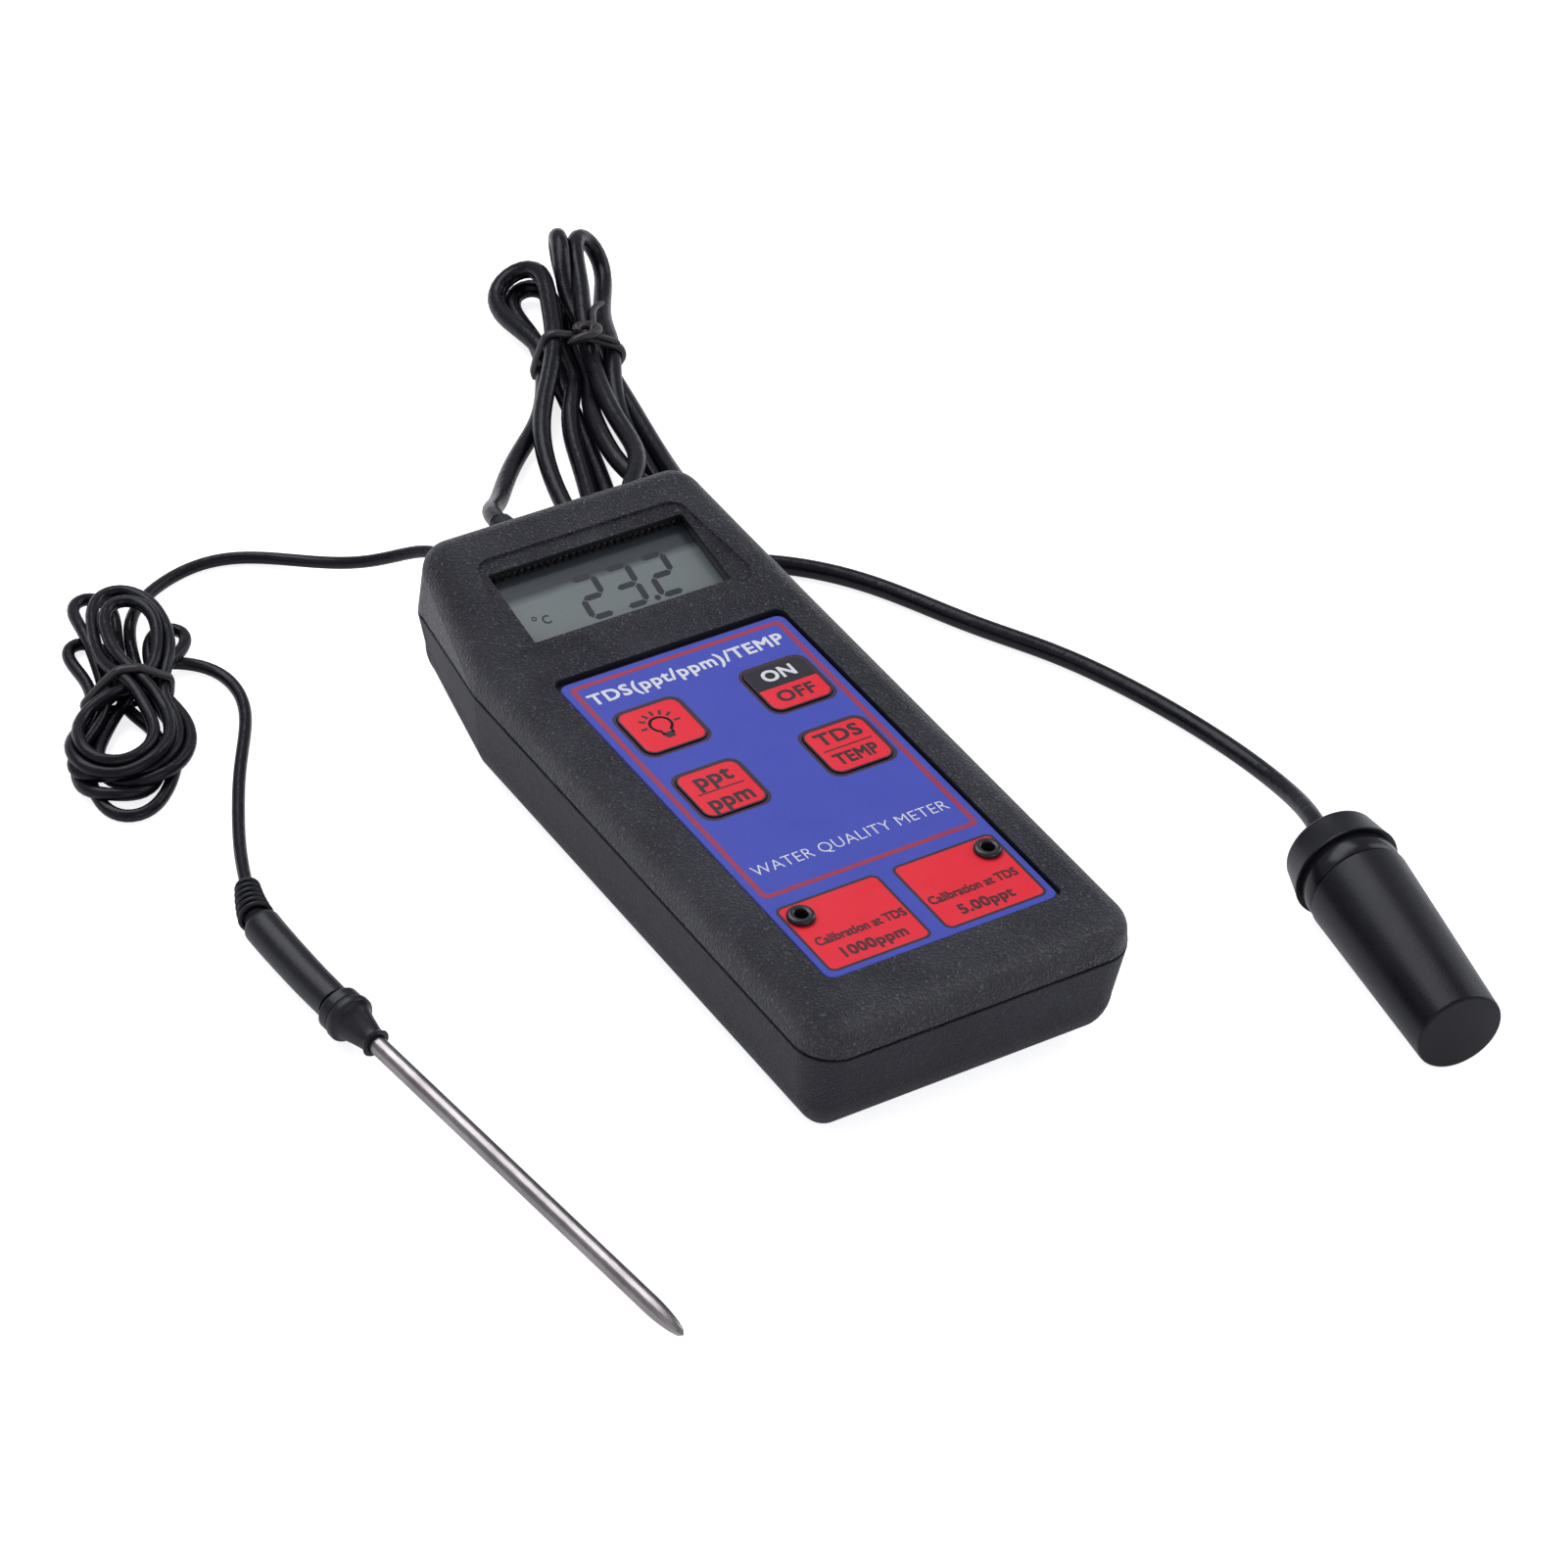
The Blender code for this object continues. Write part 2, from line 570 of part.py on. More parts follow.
def circuit_board():
    board = plate("circuit_board", rounded_outline(-BOARD_HALF_WIDTH, BOARD_NEAR, BOARD_HALF_WIDTH, BOARD_FAR, 3.0),
                  BOARD_BOTTOM, BOARD_BOTTOM + BOARD_THICKNESS, "board_green")
    for x, y in SCREW_PLACES:
        boolean(board, post("post_hole", x, y, 20.0, 30.0, BOSS_RADIUS + 0.5, "board_green"))
    top = BOARD_BOTTOM + BOARD_THICKNESS + GAP / 2.0
    box("meter_chip", (-6.0, -34.0, top), (6.0, -22.0, top + 1.5), "chip_black")
    box("amplifier_chip", (-4.0, -52.0, top), (4.0, -43.0, top + 1.7), "chip_black")
    box("lead_connector", (-6.0, 28.0, BOARD_BOTTOM - 5.0), (6.0, 34.0, BOARD_BOTTOM - GAP / 2.0), "backlight_film")
    return board


def display_stack():
    """Holder, glass, contact strips, backlight and board behind the window."""
    frame = face_matrix()
    holder = box("display_holder", (-30.2, -2.7, -6.5), (30.2, 27.7, -2.5), "black_trim")
    boolean(holder, box("upper_opening", (-25.8, 0.4, -4.0), (25.8, 24.9, 0.0), "black_trim"))
    boolean(holder, box("lower_opening", (-27.4, -1.4, -9.0), (27.4, 26.0, -3.7), "black_trim"))
    place(holder, frame)
    pieces = (
        ("display_glass", (-27.0, -1.0, -5.3), (27.0, 25.6, -4.0), "display_glass"),
        ("contact_strip_upper", (-25.4, 22.8, -3.7), (25.4, 24.5, -2.5), "strip_rubber"),
        ("contact_strip_lower", (-25.4, -0.9, -8.0), (25.4, 0.9, -5.6), "strip_rubber"),
        ("backlight_panel", (-26.0, 1.6, -7.6), (26.0, 25.4, -5.7), "backlight_film"),
        ("display_board", (-30.0, -2.4, -9.9), (30.0, 27.0, -8.3), "board_green"),
    )
    for name, low, high, slot in pieces:
        place(box(name, low, high, slot), frame)


def battery():
    top = BATTERY_BOTTOM + BATTERY_THICKNESS
    far = BATTERY_NEAR + BATTERY_LENGTH
    middle = BATTERY_BOTTOM + BATTERY_THICKNESS / 2.0
    outline = rounded_outline(-BATTERY_HALF_WIDTH, BATTERY_BOTTOM, BATTERY_HALF_WIDTH, top, 2.0)
    cell = stack("battery", [[(x, y, z) for x, z in outline] for y in (BATTERY_NEAR, far)], "battery_jacket")
    snap = box("battery_snap", (-12.6, far + 0.5, middle - 6.5), (12.6, far + 4.0, middle + 6.5), "snap_vinyl")
    for x, radius in ((-6.35, 2.8), (6.35, 3.9)):
        stud = turned("stud", ((radius, -1.0), (radius, 2.4)), "battery_jacket", 12)
        boolean(cell, place(stud, axis_matrix((x, far, middle), (x, far + 1.0, middle))), "UNION")
        socket = turned("socket", ((radius + GAP, -1.0), (radius + GAP, 2.8)), "snap_vinyl", 12)
        boolean(snap, place(socket, axis_matrix((x, far, middle), (x, far + 1.0, middle))))


# ------------------------------------------------------------------ leads

def lead_glands():
    """Tapered glands clamped in the far wall between the two shells."""
    rows = (
        ("probe_lead_gland", PROBE_GLAND_X, PROBE_GLAND_TIP, 3.7, 4.6, PROBE_LEAD_DIAMETER / 2.0 + 0.7),
        ("sensor_lead_gland", SENSOR_GLAND_X, SENSOR_GLAND_TIP, 2.7, 3.5, SENSOR_LEAD_DIAMETER / 2.0 + 0.6),
    )
    outside = FAR_END_PART + 0.9
    for name, x, tip, neck, shoulder, end in rows:
        profile = (
            (shoulder, 82.8), (shoulder, 85.0), (neck, 85.0), (neck, outside),
            (shoulder, outside), (shoulder, outside + 1.6), (end, tip - 0.4), (end - 0.4, tip),
        )
        gland = turned(name, profile, "black_trim", 20)
        place(gland, axis_matrix((x, 0.0, GLAND_HEIGHT), (x, 1.0, GLAND_HEIGHT)))


def smooth_route(route, spacing):
    """Points at even spacing on a smooth curve through the route's own points."""
    points = [Vector(point) for point in route]
    padded = [points[0] * 2.0 - points[1]] + points + [points[-1] * 2.0 - points[-2]]
    dense = []
    for i in range(1, len(padded) - 2):
        before, start, end, after = padded[i - 1:i + 3]
        for step in range(16):
            t = step / 16.0
            dense.append(0.5 * (2.0 * start + (end - before) * t
                                + (2.0 * before - 5.0 * start + 4.0 * end - after) * t ** 2
                                + (3.0 * start - before - 3.0 * end + after) * t ** 3))
    dense.append(points[-1])
    lengths = [0.0]
    for first, second in zip(dense, dense[1:]):
        lengths.append(lengths[-1] + (second - first).length)
    count = max(2, round(lengths[-1] / spacing))
    result = []
    index = 0
    for number in range(count + 1):
        target = lengths[-1] * number / count
        while index < len(dense) - 2 and lengths[index + 1] < target:
            index += 1
        share = (target - lengths[index]) / (lengths[index + 1] - lengths[index])
        result.append(dense[index].lerp(dense[index + 1], share))
    return result


def lead_tube(name, route, diameter):
    """Uncoiled stretch of a lead, as a round tube with closed ends."""
    points = smooth_route(route, 2.5 * diameter)
    curve = bpy.data.curves.new(name, "CURVE")
    curve.dimensions = "3D"
    curve.bevel_depth = diameter / 2.0 * MM
    curve.bevel_resolution = 2
    curve.use_fill_caps = True
    spline = curve.splines.new("POLY")
    spline.points.add(len(points) - 1)
    for slot, point in zip(spline.points, points):
        slot.co = (*(point * MM), 1.0)
    curve.materials.append(finish("lead_jacket"))
    thing = bpy.data.objects.new(name, curve)
    bpy.context.scene.collection.objects.link(thing)


def hull_plate(name, first, second, bottom, top, slot):
    """Upright plate around two circles."""
    points = []
    for x, y, radius in (first, second):
        for step in range(20):
            angle = 2.0 * math.pi * step / 20
            points.append(Vector((x + radius * math.cos(angle), y + radius * math.sin(angle))))
    outline = [points[i] for i in geometry.convex_hull_2d(points)]
    return plate(name, [(point.x, point.y) for point in outline], bottom, top, slot)


def hank(name, circles, top):
    """Outer shape of a folded hank, narrow where it is tied."""
    body = hull_plate(name, circles[0], circles[1], HANK_BOTTOM, top, "lead_jacket")
    return boolean(body, hull_plate("half", circles[1], circles[2], HANK_BOTTOM, top, "lead_jacket"), "UNION")


def tie(name, circles, top):
    """Band round the waist of a hank."""
    x, y, radius = circles[1]
    along = Vector(circles[2][:2]) - Vector(circles[0][:2])
    turn = math.atan2(along.y, along.x) - math.pi / 2.0
    inside = radius + 1.5
    low = 0.2
    high = top + 1.7
    wall = 1.3
    band = box(name, (-inside - wall, -0.8, low), (inside + wall, 0.8, high), "tie_plastic")
    boolean(band, box("hole", (-inside, -3.0, low + wall), (inside, 3.0, high - wall), "tie_plastic"))
    return place(band, Matrix.Translation((x, y, 0.0)) @ Matrix.Rotation(turn, 4, "Z"))


def leads():
    lead_tube("probe_lead_tail", PROBE_TAIL_ROUTE, PROBE_LEAD_DIAMETER)
    lead_tube("probe_lead_run", PROBE_RUN_ROUTE, PROBE_LEAD_DIAMETER)
    lead_tube("sensor_lead_tail", SENSOR_TAIL_ROUTE, SENSOR_LEAD_DIAMETER)
    lead_tube("sensor_lead_run", SENSOR_RUN_ROUTE, SENSOR_LEAD_DIAMETER)
    hank("probe_lead_hank", PROBE_HANK, PROBE_HANK_TOP)
    hank("sensor_lead_hank", SENSOR_HANK, SENSOR_HANK_TOP)
    tie("probe_lead_tie", PROBE_HANK, PROBE_HANK_TOP)
    tie("sensor_lead_tie", SENSOR_HANK, SENSOR_HANK_TOP)


# ------------------------------------------------------------------ dissolved-solids probe

def solids_probe():
    """Probe head, insulator with its two electrodes, seal and the sleeve that slides off."""
    axis = axis_matrix(PROBE_BACK, PROBE_FRONT)
    length = (PROBE_FRONT - PROBE_BACK).length
    head = turned("probe_head", ((9.0, 0.0), (10.4, 0.4), (11.0, 1.2), (12.4, 8.4), (12.4, 8.8), (11.0, 8.8),
                                 (11.0, 9.4), (11.4, 9.4), (11.4, 14.4), (8.0, 14.4), (8.0, 15.4)),
                  "probe_plastic", 32)
    place(head, axis)
    insulator = turned("probe_insulator", ((7.4, 15.7), (7.4, 17.0), (6.6, 17.0), (6.6, 19.4), (7.4, 19.4),
                                           (7.4, 46.0), (6.6, 47.0)), "electrode_body_grey", 24)
    for x in (-3.0, 3.0):
        boolean(insulator, post("rod_hole", x, 0.0, 40.0, 50.0, 1.5, "electrode_body_grey", 12))
        rod = post("electrode_" + ("left" if x < 0.0 else "right"), x, 0.0, 40.3, 54.0, 1.2, "graphite", 12)
        place(rod, axis)
    place(insulator, axis)
    seal = turned("probe_seal", ((7.9, 17.4), (8.2, 17.7), (8.2, 18.7), (7.9, 19.0)), "black_trim", 24)
    boolean(seal, post("seal_bore", 0.0, 0.0, 15.0, 21.0, 6.9, "black_trim", 24))
    place(seal, axis)
    sleeve = turned("probe_sleeve", ((11.2, SLEEVE_START), (11.7, SLEEVE_START + 0.4), (9.9, length - 0.5),
                                     (9.5, length)), "probe_plastic", 32)
    hollow = turned("hollow", ((8.8, SLEEVE_START - 2.0), (8.8, 20.0), (8.0, 48.0), (8.0, length - 1.8)),
                    "probe_plastic", 24)
    boolean(sleeve, hollow)
    sleeve.matrix_world = scaled_matrix(axis)


def scaled_matrix(matrix):
    """The same placement with its translation in metres."""
    result = matrix.copy()
    result.translation = matrix.translation * MM
    return result


# ------------------------------------------------------------------ needle probe

def swept(name, path, radii, slot, sides=16):
    """Round solid whose rings follow a path, one radius for each of its points."""
    rings = []
    for i, centre in enumerate(path):
        ahead = path[min(i + 1, len(path) - 1)]
        behind = path[max(i - 1, 0)]
        turn = (ahead - behind).to_track_quat("Z", "Y").to_matrix()
        ring = []
        for side in range(sides):
            angle = 2.0 * math.pi * side / sides
            ring.append(centre + turn @ Vector((math.cos(angle), math.sin(angle), 0.0)) * radii[i])
        rings.append(ring)
    return stack(name, rings, slot, smooth=True)


def needle_probe():
    """Soft handle with its strain relief, collar with the nose, hollow needle and sensing bead."""
    path = smooth_route(HANDLE_PATH, 1.5)
    radii = []
    for number in range(len(path)):
        share = number / (len(path) - 1)
        relief = min(share / 0.34, 1.0)
        radii.append(2.5 + 1.7 * relief - 0.25 * max(0.0, share - 0.34))
    swept("sensor_handle", path, radii, "handle_rubber")
    axis = axis_matrix(COLLAR_START, NEEDLE_TIP)
    collar = turned("sensor_collar", ((4.2, 0.0), (5.0, 0.5), (5.0, 3.2), (5.5, 3.5), (5.5, 5.0), (5.1, 5.5),
                                      (4.4, 5.5), (3.4, 8.5), (2.8, 11.5), (2.8, 12.4), (3.3, 13.6)),
                    "handle_rubber", 24)
    boolean(collar, post("needle_hole", 0.0, 0.0, 3.0, 20.0, 2.4, "handle_rubber", 20))
    place(collar, axis)
    length = (NEEDLE_TIP - COLLAR_START).length
    needle = turned("sensor_needle", ((2.05, 3.4), (2.05, length - 9.0), (1.9, length - 7.0), (1.3, length - 3.0),
                                      (0.25, length)), "bright_steel", 20)
    boolean(needle, post("needle_bore", 0.0, 0.0, 2.0, length - 12.0, 1.6, "bright_steel", 16))
    place(needle, axis)
    place(turned("sensing_bead", ((0.6, length - 17.0), (1.1, length - 16.4), (1.1, length - 13.4),
                                  (0.6, length - 12.8)), "chip_black", 12), axis)


def build():
    clear_scene()
    front_casing()
    rear_casing()
    battery_door()
    casing_screws()
    keypad_overlay()
    keys()
    calibration_trimmers()
    circuit_board()
    display_stack()
    battery()
    lead_glands()
    leads()
    solids_probe()
    needle_probe()


build()
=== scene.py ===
"""Looks for the hand-held water quality meter, its two leads and its two probes."""

import math

import bmesh
import bpy
import numpy as np
from mathutils import Matrix, Vector, geometry


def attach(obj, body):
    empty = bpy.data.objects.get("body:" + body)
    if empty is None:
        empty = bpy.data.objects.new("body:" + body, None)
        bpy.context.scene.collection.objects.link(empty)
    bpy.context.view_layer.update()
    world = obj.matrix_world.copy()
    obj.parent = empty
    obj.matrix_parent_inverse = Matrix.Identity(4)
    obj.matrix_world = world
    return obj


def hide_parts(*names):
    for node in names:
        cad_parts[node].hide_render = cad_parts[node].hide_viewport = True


MM = 0.001
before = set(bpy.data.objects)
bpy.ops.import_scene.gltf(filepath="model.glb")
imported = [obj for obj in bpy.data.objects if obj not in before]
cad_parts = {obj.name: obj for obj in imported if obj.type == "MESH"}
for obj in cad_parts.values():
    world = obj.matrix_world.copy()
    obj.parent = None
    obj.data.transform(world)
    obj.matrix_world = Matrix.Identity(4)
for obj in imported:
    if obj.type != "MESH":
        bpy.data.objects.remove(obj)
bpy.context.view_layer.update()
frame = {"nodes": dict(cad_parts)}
METER = "meter"

# The casing's sizes, in millimetres
HALF_WIDTH = 41.0
NEAR_END = -90.0
BEND = 48.4
PART_HEIGHT = 25.4
TOP_HEIGHT = 34.2
HEAD_SLOPE = 0.21
PART_SLOPE = -0.13
PART_TAPER = 0.205
TOP_TAPER = 0.155
FAR_END_PART = 90.3
FAR_END_TOP = 85.8
FAR_END_BASE = 89.1
NEAR_CORNER = 9.0
FAR_CORNER = 7.7
TOP_FILLET = 6.1
BASE_FILLET = 12.0
FRONT_DRAFT = 0.35
REAR_DRAFT = 1.8
SEAM = 0.12
ARC_STEPS = 12
POCKET_FLOOR = 32.5
PRINT_TOP = 33.615
KEYS = {
    "key_backlight": (-15.7, 12.0),
    "key_range": (-15.7, -12.0),
    "key_power": (16.5, 12.0),
    "key_mode": (16.5, -12.0),
}
TRIMMERS = {"low": (-23.4, -55.4), "high": (23.6, -55.4)}
SCREWS = ((-23.6, -68.0), (23.6, -68.0), (-23.6, 37.0), (23.6, 37.0))
LEAD_THICK = 4.4
LEAD_THIN = 2.9


# ------------------------------------------------------------------ camera, light, floor

def look_matrix(place, right, up):
    right = Vector(right).normalized()
    back = right.cross(Vector(up)).normalized()
    up = back.cross(right)
    matrix = Matrix((right, up, back)).transposed().to_4x4()
    matrix.translation = Vector(place) * MM
    return matrix


def set_camera():
    data = bpy.data.cameras.new("camera")
    data.lens = 137.14
    data.sensor_width = 36.0
    data.clip_start = 0.05
    camera = bpy.data.objects.new("camera", data)
    camera.matrix_world = look_matrix((-584.75, -818.78, 833.28), (0.84022, -0.53738, 0.07245),
                                      (0.29184, 0.56076, 0.77484))
    bpy.context.scene.collection.objects.link(camera)
    bpy.context.scene.camera = camera


def soft_light(name, place, aim, size, power):
    data = bpy.data.lights.new(name, "AREA")
    data.shape = "RECTANGLE"
    data.size, data.size_y = size
    data.energy = power
    data.color = (0.93, 0.94, 1.0)
    light = bpy.data.objects.new(name, data)
    direction = Vector(place) - Vector(aim)
    light.matrix_world = Matrix.Translation(place) @ direction.to_track_quat("Z", "Y").to_matrix().to_4x4()
    bpy.context.scene.collection.objects.link(light)


def studio():
    soft_light("light_overhead", (-0.15, 0.75, 1.15), (0.0, 0.0, 0.0), (1.3, 0.8), 10.8)
    soft_light("light_left", (-1.2, -0.1, 0.7), (0.0, 0.0, 0.02), (0.7, 1.0), 0.9)
    soft_light("light_front", (0.35, -1.3, 0.75), (0.0, 0.0, 0.02), (1.0, 0.6), 2.6)
    soft_light("light_right", (1.15, 0.1, 0.55), (0.0, 0.0, 0.02), (0.5, 1.0), 3.0)
    world = bpy.data.worlds.new("studio_air")
    world.use_nodes = True
    background = world.node_tree.nodes["Background"]
    background.inputs["Color"].default_value = (0.87, 0.89, 1.0, 1.0)
    background.inputs["Strength"].default_value = 0.42
    bpy.context.scene.world = world
    scene = bpy.context.scene
    scene.view_settings.view_transform = "Standard"
    mesh = bpy.data.meshes.new("floor")
    corners = ((-6, -6), (6, -6), (6, 6), (-6, 6))
    mesh.from_pydata([(x, y, -0.0002) for x, y in corners], [], [(0, 1, 2, 3)])
    floor = bpy.data.objects.new("floor", mesh)
    scene.collection.objects.link(floor)
    floor.data.materials.append(FLOOR)


# ------------------------------------------------------------------ shader groups and materials

def new_group(name, inputs, outputs):
    """Node group with float inputs (name, default) and outputs (name, kind)."""
    group = bpy.data.node_groups.new(name, "ShaderNodeTree")
    for label, value in inputs:
        socket = group.interface.new_socket(label, in_out="INPUT", socket_type="NodeSocketFloat")
        socket.default_value = value
    for label, kind in outputs:
        group.interface.new_socket(label, in_out="OUTPUT", socket_type=kind)
    return group, group.nodes.new("NodeGroupInput"), group.nodes.new("NodeGroupOutput")


def noise_node(tree, coordinates, scale, detail=3.0, roughness=0.55):
    node = tree.nodes.new("ShaderNodeTexNoise")
    node.inputs["Detail"].default_value = detail
    node.inputs["Roughness"].default_value = roughness
    tree.links.new(coordinates, node.inputs["Vector"])
    if isinstance(scale, (int, float)):
        node.inputs["Scale"].default_value = scale
    else:
        tree.links.new(scale, node.inputs["Scale"])
    return node.outputs["Fac"]


def math_node(tree, operation, first, second=0.0):
    node = tree.nodes.new("ShaderNodeMath")
    node.operation = operation
    for socket, value in zip(node.inputs, (first, second)):
        if isinstance(value, (int, float)):
            socket.default_value = value
        else:
            tree.links.new(value, socket)
    return node.outputs[0]


def spread(tree, value, low, high, out_low=0.0, out_high=1.0):
    node = tree.nodes.new("ShaderNodeMapRange")
    tree.links.new(value, node.inputs["Value"])
    for label, number in (("From Min", low), ("From Max", high), ("To Min", out_low), ("To Max", out_high)):
        node.inputs[label].default_value = number
    return node.outputs["Result"]


def make_grain_group():
    """Spark-eroded moulding grain: pebbles, fine tooth and a few pale specks; on the casing the specks are also
    painted glints off the grain.
    """
    group, source, sink = new_group("moulded_grain", (("Pebbles", 900.0), ("Tooth", 2600.0)),
                                    (("Height", "NodeSocketFloat"), ("Speck_and_glint_mask", "NodeSocketFloat")))
    place = group.nodes.new("ShaderNodeTexCoord").outputs["Object"]
    pebbles = noise_node(group, place, source.outputs["Pebbles"], 2.0, 0.5)
    tooth = noise_node(group, place, source.outputs["Tooth"], 2.0, 0.6)
    height = math_node(group, "ADD", spread(group, pebbles, 0.38, 0.64),
                       math_node(group, "MULTIPLY", tooth, 0.55))
    specks_and_glints = spread(group, math_node(group, "MULTIPLY", pebbles, tooth), 0.30, 0.42)
    group.links.new(height, sink.inputs["Height"])
    group.links.new(specks_and_glints, sink.inputs["Speck_and_glint_mask"])
    return group


def make_handling_group():
    """Slow variation from handling: cloudy polish, with fine scuffs."""
    group, source, sink = new_group("handling", (("Cloud", 45.0), ("Scuff", 320.0)),
                                    (("Cloudiness", "NodeSocketFloat"), ("Scuffs", "NodeSocketFloat")))
    place = group.nodes.new("ShaderNodeTexCoord").outputs["Object"]
    cloud = noise_node(group, place, source.outputs["Cloud"], 4.0, 0.6)
    stretch = group.nodes.new("ShaderNodeMapping")
    stretch.inputs["Scale"].default_value = (1.0, 0.12, 1.0)
    stretch.inputs["Rotation"].default_value = (0.2, 0.1, 0.7)
    group.links.new(place, stretch.inputs["Vector"])
    scuff = noise_node(group, stretch.outputs["Vector"], source.outputs["Scuff"], 6.0, 0.7)
    group.links.new(cloud, sink.inputs["Cloudiness"])
    group.links.new(spread(group, scuff, 0.60, 0.72), sink.inputs["Scuffs"])
    return group


GRAIN = make_grain_group()
HANDLING = make_handling_group()


def mix_colour(tree, factor, first, second):
    node = tree.nodes.new("ShaderNodeMix")
    node.data_type = "RGBA"
    tree.links.new(factor, node.inputs["Factor"])
    for label, colour in (("A", first), ("B", second)):
        socket = [s for s in node.inputs if s.name == label and s.type == "RGBA"][0]
        if isinstance(colour, tuple):
            socket.default_value = (*colour, 1.0)
        else:
            tree.links.new(colour, socket)
    return [s for s in node.outputs if s.type == "RGBA"][0]


def start_material(name):
    material = bpy.data.materials.new(name)
    material.use_nodes = True
    tree = material.node_tree
    return material, tree, tree.nodes["Principled BSDF"]


def place_group(tree, group, **values):
    node = tree.nodes.new("ShaderNodeGroup")
    node.node_tree = group
    for label, value in values.items():
        node.inputs[label].default_value = value
    return node


def bump(tree, shader, height, distance):
    node = tree.nodes.new("ShaderNodeBump")
    node.inputs["Distance"].default_value = distance
    node.inputs["Strength"].default_value = 1.0
    tree.links.new(height, node.inputs["Height"])
    tree.links.new(node.outputs["Normal"], shader.inputs["Normal"])


def plastic(name, colour, pale, roughness, grain=0.00002, pebbles=900.0, tooth=2600.0, specks_and_glints=0.5, coat=0.0,
            metallic=0.0, cloud=45.0, shine=0.5):
    """Moulded material: cloudy colour, grain with pale specks that can also serve as painted glints, and
    roughness that varies with handling.
    """
    material, tree, shader = start_material(name)
    handling = place_group(tree, HANDLING, Cloud=cloud)
    texture = place_group(tree, GRAIN, Pebbles=pebbles, Tooth=tooth)
    cloudy = mix_colour(tree, spread(tree, handling.outputs["Cloudiness"], 0.3, 0.7), colour,
                        tuple(0.8 * c + 0.2 * p for c, p in zip(colour, pale)))
    speckled_and_glinting = mix_colour(tree, math_node(tree, "MULTIPLY", texture.outputs["Speck_and_glint_mask"], specks_and_glints), cloudy, pale)
    tree.links.new(speckled_and_glinting, shader.inputs["Base Color"])
    worn = math_node(tree, "MULTIPLY_ADD", handling.outputs["Scuffs"], 0.06)
    worn.node.inputs[2].default_value = roughness
    uneven = math_node(tree, "ADD", worn, spread(tree, handling.outputs["Cloudiness"], 0.3, 0.7, -0.04, 0.04))
    tree.links.new(uneven, shader.inputs["Roughness"])
    shader.inputs["Metallic"].default_value = metallic
    shader.inputs["Specular IOR Level"].default_value = shine
    shader.inputs["Coat Weight"].default_value = coat
    shader.inputs["Coat Roughness"].default_value = 0.12
    bump(tree, shader, texture.outputs["Height"], grain)
    return material


def brushed_steel(name, axis_turn):
    """Ground stainless: fine scratches along the needle and a warm tint in patches."""
    material, tree, shader = start_material(name)
    place = tree.nodes.new("ShaderNodeTexCoord").outputs["Object"]
    stretch = tree.nodes.new("ShaderNodeMapping")
    stretch.inputs["Rotation"].default_value = (0.0, 0.0, axis_turn)
    stretch.inputs["Scale"].default_value = (9.0, 0.35, 9.0)
    tree.links.new(place, stretch.inputs["Vector"])
    lines = noise_node(tree, stretch.outputs["Vector"], 420.0, 5.0, 0.6)
    tone = noise_node(tree, place, 70.0, 3.0, 0.5)
    colour = mix_colour(tree, spread(tree, tone, 0.35, 0.65), (0.245, 0.222, 0.218), (0.38, 0.352, 0.346))
    tree.links.new(colour, shader.inputs["Base Color"])
    tree.links.new(spread(tree, lines, 0.3, 0.7, 0.20, 0.36), shader.inputs["Roughness"])
    shader.inputs["Metallic"].default_value = 1.0
    bump(tree, shader, lines, 0.000012)
    return material


def display_surface(name):
    """Grey-green liquid crystal under polariser film, darker towards its far edge, where the wall shades it."""
    material, tree, shader = start_material(name)
    place = tree.nodes.new("ShaderNodeTexCoord").outputs["Object"]
    split = tree.nodes.new("ShaderNodeSeparateXYZ")
    tree.links.new(place, split.inputs["Vector"])
    wave = noise_node(tree, place, 60.0, 3.0, 0.5)
    shade = spread(tree, math_node(tree, "ADD", split.outputs["Y"],
            math_node(tree, "MULTIPLY", wave, 0.0015)),
                   0.0640, 0.0662)
    colour = mix_colour(tree, shade, (0.176, 0.202, 0.190), (0.036, 0.045, 0.049))
    tree.links.new(colour, shader.inputs["Base Color"])
    tree.links.new(spread(tree, wave, 0.3, 0.7, 0.20, 0.30), shader.inputs["Roughness"])
    shader.inputs["Coat Weight"].default_value = 0.6
    shader.inputs["Coat Roughness"].default_value = 0.06
    bump(tree, shader, wave, 0.00001)
    return material


def striped_rubber(name):
    """Contact strip of thin dark and pale layers stacked along its length."""
    material, tree, shader = start_material(name)
    place = tree.nodes.new("ShaderNodeTexCoord").outputs["Object"]
    bands = tree.nodes.new("ShaderNodeTexWave")
    bands.bands_direction = "X"
    bands.inputs["Scale"].default_value = 190.0
    bands.inputs["Distortion"].default_value = 0.4
    tree.links.new(place, bands.inputs["Vector"])
    colour = mix_colour(tree, spread(tree, bands.outputs["Fac"], 0.45, 0.75), (0.006, 0.006, 0.006),
                        (0.10, 0.10, 0.095))
    tree.links.new(colour, shader.inputs["Base Color"])
    tree.links.new(spread(tree, bands.outputs["Fac"], 0.0, 1.0, 0.6, 0.4), shader.inputs["Roughness"])
    return material


